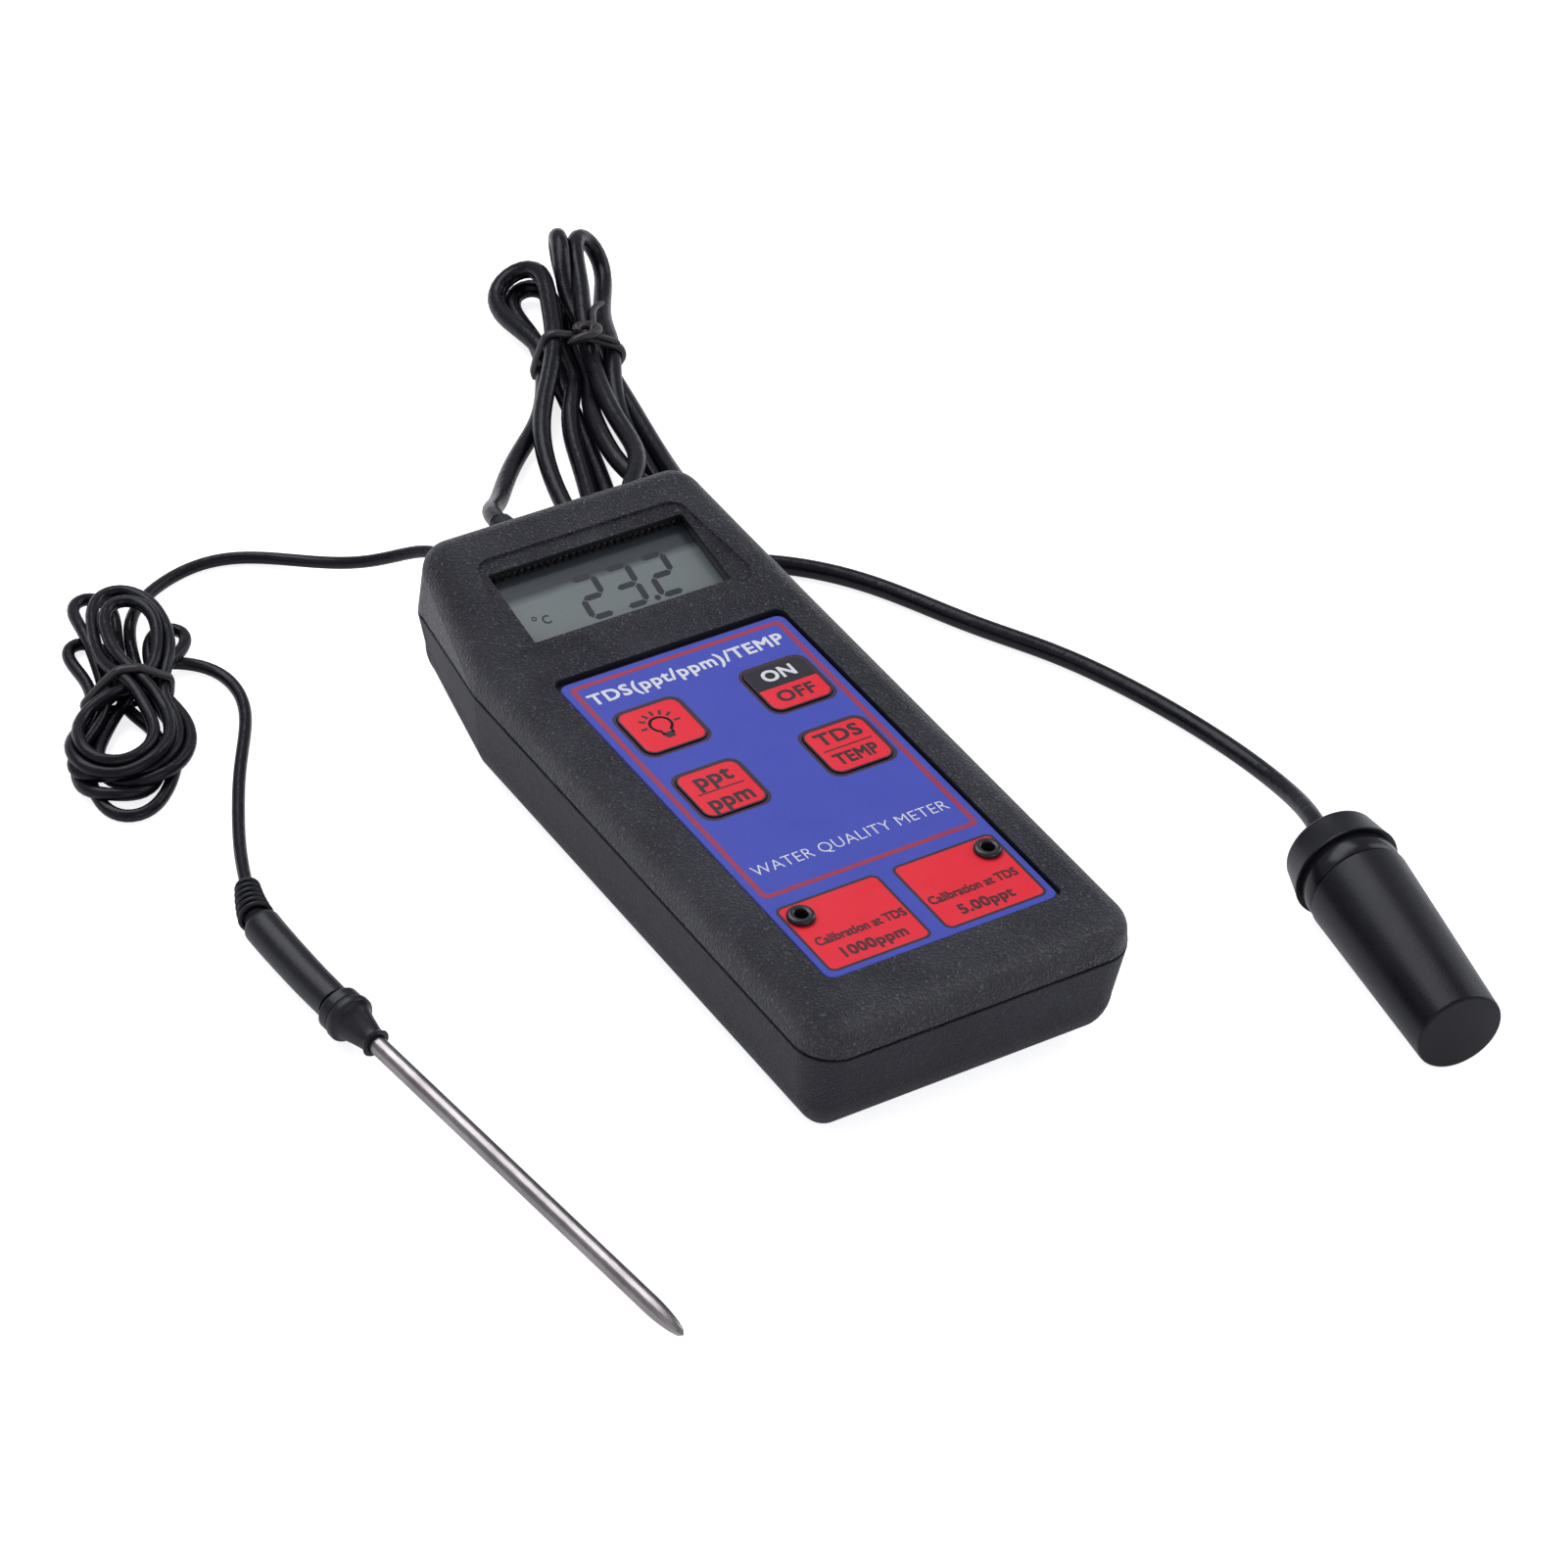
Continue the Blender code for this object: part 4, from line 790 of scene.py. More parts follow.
def tie_band(name, points, diameter, centre, along, tie_reach, width, wall):
    """Wrapped band that follows the outside of the strands where they pass the tie."""
    cloud = []
    for side, height in strand_centres(points, centre, along, tie_reach):
        for step in range(24):
            angle = 2.0 * math.pi * step / 24
            reach = diameter / 2.0 + TIE_GAP
            cloud.append(Vector((side + reach * math.cos(angle), height + reach * math.sin(angle))))
    hull = [cloud[i] for i in geometry.convex_hull_2d(cloud)]
    loop = even_points([(p.x, p.y, 0.0) for p in hull + hull[:1]], 0.7)[:-1]
    count = len(loop)
    rings = []
    section = ((-0.5, 0.0), (-0.5, 0.55), (-0.3, 1.0), (0.3, 1.0), (0.5, 0.55), (0.5, 0.0))
    for i, point in enumerate(loop):
        ahead, behind = loop[(i + 2) % count], loop[(i - 2) % count]
        tangent = (ahead - behind) / np.linalg.norm(ahead - behind)
        outward = np.array([tangent[1], -tangent[0], 0.0])
        if np.dot(outward, point - loop.mean(axis=0)) < 0.0:
            outward = -outward
        sway = 0.35 * math.sin(2.0 * math.pi * i / count * 2.0)
        ring = []
        for along_width, rise in section:
            place = point + outward * rise * wall
            ring.append((place[0], along_width * width + sway, max(place[1], 0.05)))
        rings.append(ring)
    flat = [p for ring in rings for p in ring]
    band = add_mesh(name, flat, ring_faces(0, len(section), count, closed=True), TIE, 50.0)
    turn = math.atan2(along[1], along[0]) - math.pi / 2.0
    return moved(band, Matrix.Translation((centre[0], centre[1], 0.0)) @ Matrix.Rotation(turn, 4, "Z"))


def tube_mesh(name, route, radii, material, sides=16):
    """Closed round tube along a route, with one radius for each point."""
    points = [Vector(p) for p in route]
    rings = []
    for i, centre in enumerate(points):
        tangent = points[min(i + 1, len(points) - 1)] - points[max(i - 1, 0)]
        turn = tangent.to_track_quat("Z", "Y").to_matrix()
        rings.append([centre + turn @ Vector((math.cos(2 * math.pi * s / sides),
                                              math.sin(2 * math.pi * s / sides), 0.0))
                      * radii[i] for s in range(sides)])
    return stack(name, rings, material, 50.0)


THICK = settle(PROBE_LEAD_ROUTE, LEAD_THICK)
THIN = settle(SENSOR_LEAD_ROUTE, LEAD_THIN)


def lay_leads():
    probe_lead = lead("probe_lead", THICK, LEAD_THICK, LEAD)
    ride(probe_lead, METER, ("probe_lead_tail", "probe_lead_run", "probe_lead_hank"))
    sensor_lead = lead("sensor_lead", THIN, LEAD_THIN, LEAD)
    ride(sensor_lead, METER, ("sensor_lead_tail", "sensor_lead_run", "sensor_lead_hank"))
    centre, along = (61.0, 172.0), (0.383, 0.923)
    band = tie_band("probe_lead_tie_band", THICK, LEAD_THICK, centre, along, PROBE_TIE_REACH, 2.2, 1.1)
    pieces = [band]
    for number, (route, radius) in enumerate((
            (((57.5, 170.8, 11.6), (60.0, 169.6, 13.2), (63.0, 169.2, 13.6), (65.4, 170.4, 13.2),
              (66.2, 172.6, 12.6),
              (64.4, 174.0, 12.8), (61.6, 173.6, 13.4), (60.2, 171.8, 13.8)), 1.1),
            (((64.0, 171.2, 12.8), (66.6, 174.6, 12.9), (68.8, 178.4, 12.2), (71.4, 181.2, 11.6),
              (74.4, 182.4, 11.2)), 0.8),
            (((63.0, 170.2, 13.0), (66.6, 168.9, 11.6), (70.2, 168.0, 9.6)), 0.7))):
        path = smooth_curve(route, 0.8)
        radii = [radius * (0.55 + 0.45 * min(1.0, i / 2.0,
                                             (len(path) - 1 - i) / 2.0)) for i in range(len(path))]
        pieces.append(tube_mesh(f"knot_{number}", path, radii, TIE))
    tie = join("probe_lead_tie_wrap", pieces)
    ride(finish_shading(tie, 50.0), METER, ("probe_lead_tie",))
    band = tie_band("sensor_lead_tie_wrap", THIN, LEAD_THIN, (-94.0, 108.4), (0.23, 0.973), SENSOR_TIE_REACH,
                    2.2, 1.0)
    ride(band, METER, ("sensor_lead_tie",))


# ------------------------------------------------------------------ casing

def casing_ring(half_width, near, height, slope, taper, far, near_corner, far_corner):
    """One level of the casing: straight sides up to the bend, then a narrowing head."""
    far_half = half_width - taper * (far - BEND)
    far_x = far_half - far_corner + taper * far_corner
    corners = (
        (-half_width + near_corner, near + near_corner, near_corner, 180.0),
        (half_width - near_corner, near + near_corner, near_corner, 270.0),
        (far_x, far - far_corner, far_corner, 0.0),
        (-far_x, far - far_corner, far_corner, 90.0),
    )
    points = [(-half_width, BEND)]
    for number, (x, y, radius, start) in enumerate(corners):
        for step in range(ARC_STEPS + 1):
            angle = math.radians(start + 90.0 * step / ARC_STEPS)
            points.append((x + radius * math.cos(angle), y + radius * math.sin(angle)))
        if number == 1:
            points.append((half_width, BEND))
    return [(x, y, height + slope * max(0.0, y - BEND)) for x, y in points]


def parting_ring(inset, shift):
    return casing_ring(HALF_WIDTH - inset, NEAR_END + inset, PART_HEIGHT + shift, PART_SLOPE, PART_TAPER,
                       FAR_END_PART - inset, NEAR_CORNER - min(inset, 4.0), FAR_CORNER - min(inset, 4.0))


def front_outer_rings():
    rings = [parting_ring(0.95, SEAM), parting_ring(0.85, SEAM + 0.14), parting_ring(0.14, SEAM + 0.18),
             parting_ring(0.0, SEAM + 0.38)]
    for step in range(ARC_STEPS + 1):
        angle = math.radians(90.0 * (1.0 - step / ARC_STEPS))
        inward = TOP_FILLET * (1.0 - math.sin(angle))
        height = TOP_HEIGHT - TOP_FILLET * (1.0 - math.cos(angle))
        offset = FRONT_DRAFT + inward
        rings.append(casing_ring(HALF_WIDTH - offset, NEAR_END + offset, height, HEAD_SLOPE, TOP_TAPER,
                                 FAR_END_TOP - inward, NEAR_CORNER - offset, FAR_CORNER - inward))
    return rings


def front_inner_rings():
    ceiling = TOP_HEIGHT - 3.2
    return [
        parting_ring(2.4, SEAM),
        casing_ring(38.0, NEAR_END + 3.0, ceiling - 2.5, HEAD_SLOPE, TOP_TAPER, FAR_END_TOP - 2.6, 5.0, 4.6),
        casing_ring(35.8, NEAR_END + 5.2, ceiling, HEAD_SLOPE, TOP_TAPER, FAR_END_TOP - 5.0, 3.6, 3.4),
    ]


def rear_outer_rings():
    rings = [parting_ring(0.95, -SEAM), parting_ring(0.85, -SEAM - 0.10), parting_ring(0.14, -SEAM - 0.14),
             parting_ring(0.0, -SEAM - 0.34)]
    for step in range(ARC_STEPS + 1):
        angle = math.radians(90.0 * step / ARC_STEPS)
        inward = BASE_FILLET * (1.0 - math.cos(angle))
        offset = REAR_DRAFT + inward
        rings.append(casing_ring(HALF_WIDTH - offset, NEAR_END + offset,
                                 BASE_FILLET * (1.0 - math.sin(angle)), 0.0,
                                 PART_TAPER, FAR_END_BASE - inward, max(NEAR_CORNER - offset, 1.2),
                                 max(FAR_CORNER - inward, 1.2)))
    return rings


def rear_inner_rings():
    return [
        parting_ring(2.4, -SEAM),
        casing_ring(36.6, NEAR_END + 4.4, 12.0, 0.0, PART_TAPER, FAR_END_BASE - 3.6, 5.0, 4.2),
        casing_ring(34.2, NEAR_END + 6.8, 7.0, 0.0, PART_TAPER, FAR_END_BASE - 6.0, 3.2, 3.0),
        casing_ring(28.5, NEAR_END + 12.5, 3.4, 0.0, PART_TAPER, FAR_END_BASE - 11.5, 1.6, 1.6),
    ]


def shell(name, outer, inner, material):
    count = len(outer[0])
    points = [p for ring in outer + inner for p in ring]
    inner_start = len(outer) * count
    faces = ring_faces(0, count, len(outer)) + ring_faces(inner_start, count, len(inner))
    for i in range(count):
        j = (i + 1) % count
        faces.append((i, j, inner_start + j, inner_start + i))
    near_count = 2 * (ARC_STEPS + 1) + 2
    for last in (inner_start - count, len(points) - count):
        faces.append(tuple(last + i for i in range(near_count)))
        faces.append(tuple(last + i for i in list(range(near_count - 1, count)) + [0]))
    return add_mesh(name, points, faces, material)


def face_matrix():
    """Frame on the sloping head: X across, Y up the slope from the bend, Z out of the face."""
    return Matrix.Translation((0.0, BEND, TOP_HEIGHT)) @ Matrix.Rotation(math.atan(HEAD_SLOPE), 4, "X")


def post(name, x, y, bottom, top, radius, material, sides=32):
    return moved(turned(name, ((radius, bottom), (radius, top)), material, sides),
                 Matrix.Translation((x, y, 0.0)))


def gland_hole(x, radius):
    hole = turned("gland_hole", ((radius, 0.0), (radius, 30.0)), BLACK_AND_RECESS_SHADE, 32)
    return moved(hole, axis_matrix((x, 74.0, 20.0), (x, 110.0, 20.0)))


def step_outline(near_half, far_half, near, far, corner):
    outline = []
    for x, y, start in ((far_half - corner, far - corner, 0.0), (-far_half + corner, far - corner, 90.0),
                        (-near_half + corner, near + corner, 180.0),
                        (near_half - corner, near + corner, 270.0)):
        for step in range(9):
            angle = math.radians(start + 90.0 * step / 8)
            outline.append((x + corner * math.cos(angle), y + corner * math.sin(angle)))
    return outline


def front_casing():
    casing = shell("front_shell", front_outer_rings(), front_inner_rings(), CASING_PAINTED_GLINTS)
    # The pocket, hole and window walls take the tools' near-black: painted shade in these recesses.
    pocket = rounded_outline(-29.6, -75.4, 29.6, 35.5, 2.4)
    cut(casing, plate("pocket", pocket, POCKET_FLOOR, TOP_HEIGHT + 2.0, BLACK_AND_RECESS_SHADE))
    for x, y in KEYS.values():
        cut(casing, post("stem_hole", x, y, 28.0, 36.0, 3.2, BLACK_AND_RECESS_SHADE))
    for x, y in TRIMMERS.values():
        cut(casing, post("bushing_hole", x, y, 28.0, 36.0, 2.6, BLACK_AND_RECESS_SHADE))
    window = stack("window", [[(x, y, z) for x, y in rounded_outline(-25.2 - grow, 0.9 - grow, 25.2 + grow,
                                                                     22.4 + grow, 0.5)]
                              for z, grow in ((-9.0, 0.0), (-0.6, 0.0), (4.0, 1.6))], BLACK_AND_RECESS_SHADE)
    cut(casing, moved(window, face_matrix()))
    cut(casing, moved(box("stack_room", (-30.5, -3.0, -14.0), (30.5, 28.0, -2.2), BLACK_AND_RECESS_SHADE), face_matrix()))
    step = plate("display_step", step_outline(31.2, 27.0, -1.0, 26.4, 4.0), 0.0, 6.0, CASING_PAINTED_GLINTS)
    tilt = Matrix.Translation((0.0, 0.0, -0.10)) @ Matrix.Rotation(math.radians(-1.3), 4, "X")
    cut(casing, moved(step, face_matrix() @ tilt))
    cut(casing, gland_hole(0.0, 4.0))
    cut(casing, gland_hole(-18.0, 3.0))
    bevel = casing.modifiers.new("soft_edges", "BEVEL")
    bevel.width = 0.00018
    bevel.segments = 2
    bevel.limit_method = "ANGLE"
    bevel.angle_limit = math.radians(38.0)
    bevel.use_clamp_overlap = True
    casing = bake(casing)
    ride(finish_shading(casing, 40.0), METER, ("front_casing",))


def rear_casing():
    casing = shell("rear_shell", rear_outer_rings(), rear_inner_rings(), CASING_SHADED_COPY)
    # The head holes, the mouth and the gland holes take the tools' near-black: painted shade in these openings.
    for x, y in SCREWS:
        cut(casing, post("boss", x, y, 2.6, 22.0, 3.6, CASING_SHADED_COPY), "UNION")
        cut(casing, post("head_hole", x, y, -2.0, 3.5, 3.1, BLACK_AND_RECESS_SHADE))
    cut(casing, box("channel", (-17.0, NEAR_END - 3.0, -2.0), (17.0, -18.2, 2.0), CASING_SHADED_COPY))
    cut(casing, box("mouth", (-13.7, -73.5, 0.0), (13.7, -20.0, 8.0), BLACK_AND_RECESS_SHADE))
    cut(casing, gland_hole(0.0, 4.0))
    cut(casing, gland_hole(-18.0, 3.0))
    ride(finish_shading(casing, 40.0), METER, ("rear_casing",))


# ------------------------------------------------------------------ keypad and its print

def outline_band(name, outer, inner, bottom, top, material):
    """Flat ring between two outlines with the same number of points."""
    count = len(outer)
    points = [(x, y, z) for line in (outer, inner) for z in (bottom, top) for x, y in line]
    faces = []
    for i in range(count):
        j = (i + 1) % count
        a, b, c, d = i, count + i, 2 * count + i, 3 * count + i
        e, f, g, h = j, count + j, 2 * count + j, 3 * count + j
        faces += [(a, e, f, b), (b, f, h, d), (d, h, g, c), (c, g, e, a)]
    return add_mesh(name, points, faces, material)


# height between the shifted copies that make bold print, so that they never share a plane
COPY_STEP = 0.008


def lettering(name, words, x, y, size, matrix, material, width=1.0, bold=0.0, depth=0.012, spacing=1.0):
    """Raised print, made a mesh before it is placed. x, y and size are in millimetres."""
    text = bpy.data.curves.new(name, "FONT")
    text.body = words
    text.align_x = "CENTER"
    text.space_character = spacing
    text.align_y = "CENTER"
    text.size = size
    text.extrude = depth
    text.offset = min(bold, 0.0)
    text.resolution_u = 3
    thing = bpy.data.objects.new(name, text)
    bpy.context.scene.collection.objects.link(thing)
    thing.data.materials.append(material)
    solid = bake(thing)
    squeeze = Matrix.Diagonal((width, 1.0, 1.0, 1.0))
    solid.data.transform(Matrix.Diagonal((MM, MM, MM, 1.0)) @ squeeze)
    if bold > 0.0:
        copies = [solid]
        for step, (across, up) in enumerate(((-1.0, -1.0), (1.0, -1.0), (-1.0, 1.0), (1.0, 1.0))):
            copy = bpy.data.objects.new(name, solid.data.copy())
            bpy.context.scene.collection.objects.link(copy)
            copy.data.transform(Matrix.Translation((across * bold * MM, up * bold * MM,
                                                    COPY_STEP * (step + 1) * MM)))
            copies.append(copy)
        solid = join(name, copies)
    moved(solid, matrix @ Matrix.Translation((x, y, 0.0)))
    return solid


def strokes(name, lines, width, matrix, material, depth=0.012):
    """Flat drawn lines, each a run of points with a fixed width."""
    pieces = []
    for number, line in enumerate(lines):
        for i, (first, second) in enumerate(zip(line, line[1:])):
            a, b = Vector(first), Vector(second)
            side = (b - a).orthogonal().normalized() * width / 2.0
            reach = (b - a).normalized() * width * 0.28
            outline = [a - reach - side, b + reach - side, b + reach + side, a - reach + side]
            pieces.append(plate(f"{name}_{number}_{i}", [(p.x, p.y) for p in outline], -depth, depth,
                                material))
    return moved(join(name, pieces), matrix)


def arc_line(x, y, radius, start, end, steps=20):
    return [(x + radius * math.cos(math.radians(start + (end - start) * s / steps)),
             y + radius * math.sin(math.radians(start + (end - start) * s / steps))) for s in range(steps + 1)]


def print_at(height):
    return Matrix.Translation((0.0, 0.0, height))


def keypad_print():
    overlay = frame["nodes"]["keypad_overlay"]
    overlay.material_slots[0].material = BLUE
    top = PRINT_TOP
    pieces = []
    border_outer = rounded_outline(-27.2, -47.2, 27.2, 32.4, 1.6)
    border_inner = rounded_outline(-25.9, -45.9, 25.9, 31.1, 0.9)
    pieces.append(outline_band("border", border_outer, border_inner, top - 0.03, top, CRIMSON))
    for side in (-1.0, 1.0):
        low, high = sorted((side * 1.7, side * 27.4))
        outer = rounded_outline(low, -73.2, high, -50.6, 2.0)
        inner = rounded_outline(low + 0.7, -72.5, high - 0.7, -51.3, 1.3)
        pieces.append(outline_band("patch_edge", outer, inner, top - 0.03, top, INK))
        patch = plate("patch", inner, top - 0.03, top - 0.004, RED)
        x, y = TRIMMERS["low" if side < 0.0 else "high"]
        cut(patch, post("hole", x, y, 30.0, 36.0, 2.6, RED))
        patch.data.shade_flat()
        pieces.append(patch)
    for name, (x, y) in KEYS.items():
        outer = rounded_outline(x - 8.75, y - 8.55, x + 8.75, y + 8.55, 3.2)
        inner = rounded_outline(x - 8.12, y - 7.92, x + 8.12, y + 7.92, 2.9)
        pieces.append(outline_band("key_edge", outer, inner, top - 0.03, top, INK))
    plane = print_at(top)
    pieces.append(lettering("title", "TDS(ppt/ppm)/TEMP", -0.3, 26.4, 5.2, plane, WHITE, width=1.02,
                            bold=0.13, spacing=1.10))
    pieces.append(lettering("line", "WATER QUALITY METER", 0.0, -38.6, 4.6, plane, WHITE, width=0.93,
                            bold=-0.045, spacing=1.04))
    for x, value in ((-11.0, "1000ppm"), (17.2, "5.00ppt")):
        pieces.append(lettering("patch_words", "Calibration at TDS", x - 3.0, -63.8, 3.55, plane, MAROON,
                                width=0.82, bold=0.105))
        pieces.append(lettering("patch_value", value, x - 3.2, -69.0, 4.2, plane, MAROON, width=1.0,
                                bold=0.15,
                                spacing=1.06))
    sheet = join("keypad_print", pieces)
    ride(sheet, METER)


def key_outline(grow):
    return rounded_outline(-7.8 - grow, -7.6 - grow, 7.8 + grow, 7.6 + grow, 2.6 + grow)


def key_cap(name, material):
    """Pillow-edged key cap, about its own centre."""
    levels = ((33.15, 0.0), (33.72, 0.0), (33.86, -0.12), (33.94, -0.40), (33.95, -0.80))
    rings = [[(x, y, height) for x, y in key_outline(grow)] for height, grow in levels]
    return stack(name, rings, material, 25.0)


def keys():
    marks = {}
    top = print_at(33.955)
    bulb = [arc_line(0.0, 0.5, 2.45, -58.0, 238.0), [(-1.3, -1.6), (-1.15, -2.8)],
            [(1.3, -1.6), (1.15, -2.8)],
            [(-1.2, -2.7), (1.2, -2.7)], [(-1.05, -3.35), (1.05, -3.35)], [(-0.8, -3.95), (0.8, -3.95)]]
    for angle in (0.0, 36.0, 63.0, 90.0, 117.0, 144.0, 180.0):
        c, s = math.cos(math.radians(angle)), math.sin(math.radians(angle))
        bulb.append([(3.5 * c, 0.5 + 3.5 * s), (4.7 * c, 0.5 + 4.7 * s)])
    marks["key_backlight"] = [strokes("bulb", bulb, 0.68, top, INK)]
    marks["key_range"] = [lettering("upper", "ppt", 0.0, 3.9, 6.4, top, INK, width=1.02, bold=0.17,
                                    spacing=1.06),
                          lettering("lower", "ppm", 0.0, -3.8, 6.4, top, INK, width=0.96, bold=0.17,
                                    spacing=1.04),
                          strokes("bar", [[(-5.6, 0.0), (5.6, 0.0)]], 0.42, top, INK)]
    marks["key_mode"] = [lettering("upper", "TDS", 0.0, 3.6, 5.6, top, INK, width=1.05, bold=0.15,
                                   spacing=1.08),
                         lettering("lower", "TEMP", 0.0, -3.7, 5.2, top, INK, width=0.84, bold=0.14,
                                   spacing=1.04),
                         strokes("bar", [[(-6.0, 0.0), (6.0, 0.0)]], 0.42, top, INK)]
    marks["key_power"] = [lettering("upper", "ON", 0.0, 3.7, 5.2, top, WHITE, width=1.0, bold=0.13,
                                    spacing=1.05),
                          lettering("lower", "OFF", 0.0, -3.7, 5.2, top, INK, width=1.02, bold=0.14,
                                    spacing=1.06)]
    for name, (x, y) in KEYS.items():
        cap = key_cap("cap", RED)
        parts = [cap]
        rim = outline_band("rim", key_outline(0.03), key_outline(-0.42), 33.3, 33.955, INK)
        parts.append(rim)
        if name == "key_power":
            rim_line = key_outline(-0.42)
            half = max(px for px, _ in rim_line)
            upper = sorted((p for p in rim_line if p[1] > 0.05), key=lambda p: math.atan2(p[1], p[0]))
            parts.append(plate("black_half", [(half, 0.0), *upper, (-half, 0.0)], 33.90, 33.953, KEY_BLACK))
        whole = join("face_of_" + name, parts + marks[name])
        moved(whole, Matrix.Translation((x, y, 0.0)))
        ride(finish_shading(whole, 30.0), name + "_body",
             (name,))


def trimmer_bushings():
    for level, (x, y) in TRIMMERS.items():
        profile = ((2.3, 30.6), (2.3, 33.75), (3.1, 33.75), (3.12, 33.95), (3.08, 34.35), (2.92, 34.62),
                   (2.66, 34.78),
                   (2.3, 34.84), (1.8, 34.80), (1.56, 34.62), (1.5, 34.30))
        body = turned("bushing_" + level, profile, BUSHING, 48)
        cut(body, post("bore", 0.0, 0.0, 29.0, 37.0, 1.5, BLACK_AND_RECESS_SHADE, 48))
        moved(body, Matrix.Translation((x, y, 0.0)))
        ride(finish_shading(body, 40.0), METER, (f"trimmer_bushing_{level}",))


# ------------------------------------------------------------------ display

SEGMENTS = {"2": "abged", "3": "abgcd"}


def digit(x, y, width, height, lean, which):
    """Seven-segment figure: flat hexagonal bars with mitred ends."""
    half, bar = width / 2.0, 1.5
    runs = {
        "a": ((-half, height), (half, height)), "g": ((-half, height / 2), (half, height / 2)),
        "d": ((-half, 0.0), (half, 0.0)), "b": ((half, height), (half, height / 2)),
        "c": ((half, height / 2), (half, 0.0)), "e": ((-half, height / 2), (-half, 0.0)),
        "f": ((-half, height), (-half, height / 2)),
    }
    shapes = []
    for key in SEGMENTS[which]:
        a, b = Vector(runs[key][0]), Vector(runs[key][1])
        along = (b - a).normalized()
        side = Vector((-along.y, along.x)) * bar / 2.0
        a, b = a + along * 0.22, b - along * 0.22
        inner = along * bar / 2.0
        outline = [a, a + inner - side, b - inner - side, b, b - inner + side, a + inner + side]
        shapes.append([(x + p.x + lean * p.y, y + p.y) for p in outline])
    return shapes


def display():
    nodes = frame["nodes"]
    nodes["display_glass"].material_slots[0].material = LCD
    nodes["display_holder"].material_slots[0].material = BLACK_AND_RECESS_SHADE
    nodes["contact_strip_upper"].material_slots[0].material = STRIP
    nodes["contact_strip_lower"].material_slots[0].material = STRIP
    plane = face_matrix() @ Matrix.Translation((0.0, 0.0, -3.96))
    pieces = []
    figures = [(-4.6, "2"), (4.2, "3"), (13.4, "2")]
    for number, (x, which) in enumerate(figures):
        for i, shape in enumerate(digit(x, 4.9, 5.2, 11.4, 0.06, which)):
            pieces.append(moved(plate(f"bar_{number}_{i}", shape, -0.02, 0.02, SEGMENT), plane))
    dot = [(9.3 + 0.75 * math.cos(a * math.pi / 6),
            4.9 + 0.75 * math.sin(a * math.pi / 6)) for a in range(12)]
    pieces.append(moved(plate("point", dot, -0.02, 0.02, SEGMENT), plane))
    pieces.append(lettering("unit", "C", -17.4, 8.4, 3.4, plane, SEGMENT, width=0.9, bold=0.02, depth=0.02))
    pieces.append(moved(outline_band("degree", arc_line(-19.9, 9.7, 0.62, 0, 345, 23),
                                     arc_line(-19.9, 9.7, 0.36, 0, 345, 23),
                                     -0.02, 0.02, SEGMENT), plane))
    ride(join("display_figures", pieces), METER)
    studs = []
    for i in range(26):
        x = -24.4 + 48.8 * i / 25
        studs.append(moved(box(f"tooth_{i}", (x - 0.5, 21.9, -3.7), (x + 0.5, 22.5, -2.9), BLACK_AND_RECESS_SHADE),
                           face_matrix()))
    ride(join("display_ledge", studs), METER)


# ------------------------------------------------------------------ probes

PROBE_BACK = Vector((107.0, -69.1, 12.75))
PROBE_FRONT = Vector((96.8, -130.0, 10.25))


def arc_profile(radius, height, inset, depth, steps=5):
    """Rounded shoulder that runs from the end face out to full radius."""
    points = []
    for step in range(steps + 1):
        angle = math.radians(90.0 * step / steps)
        points.append((radius - inset * (1.0 - math.sin(angle)), height + depth * (1.0 - math.cos(angle))))
    return points


def solids_probe():
    axis = axis_matrix(PROBE_BACK, PROBE_FRONT)
    length = (PROBE_FRONT - PROBE_BACK).length
    head = turned("probe_head_body", [(2.6, 0.0)] + arc_profile(10.9, 0.0, 1.6, 1.6) + [(12.25, 8.2),
            (12.38, 8.5),
                    (12.3,
                            8.8),
                  (11.2, 8.85), (11.15, 9.2)], PROBE, 96)
    moved(head, axis)
    ride(finish_shading(head, 40.0), METER)
    neck = turned("probe_neck", [(7.9, 9.25), (11.30, 9.25), (11.42, 9.45), (11.45, 14.1), (11.3, 14.4),
            (8.0, 14.4), (8.0, 15.3)],
                  NECK, 96)
    moved(neck, axis)
    ride(finish_shading(neck, 40.0), METER, ("probe_head",))
    sleeve_profile = [(11.15, 14.75), (11.45, 14.78), (11.66, 14.95), (11.68, 15.3), (9.95, length - 0.75)]
    sleeve_profile += [(9.90, length - 0.45), (9.76, length - 0.18), (9.5, length - 0.04), (9.2, length)]
    sleeve = turned("probe_sleeve_body", sleeve_profile, PROBE, 96)
    hollow = turned("hollow", ((8.8, 12.0), (8.8, 20.0), (8.0, 48.0), (8.0, length - 1.8)), PROBE, 64)
    cut(sleeve, hollow)
    moved(sleeve, axis)
    ride(finish_shading(sleeve, 30.0), "probe_sleeve_body", ("probe_sleeve",))
    collar = turned("probe_lead_collar", ((2.25, -2.6), (2.9, -2.4), (3.1, -0.6), (3.3, 0.1)), RUBBER, 32)
    moved(collar, axis)
    return collar


HANDLE_PATH = ((-102.2, 38.2, 3.2), (-105.0, 31.0, 4.0), (-106.6, 23.6, 4.7), (-106.5, 6.0, 5.2),
               (-105.9, -6.8, 5.7))
COLLAR_START = Vector((-105.8, -7.5, 5.7))
NEEDLE_TIP = Vector((-91.5, -122.4, 2.3))


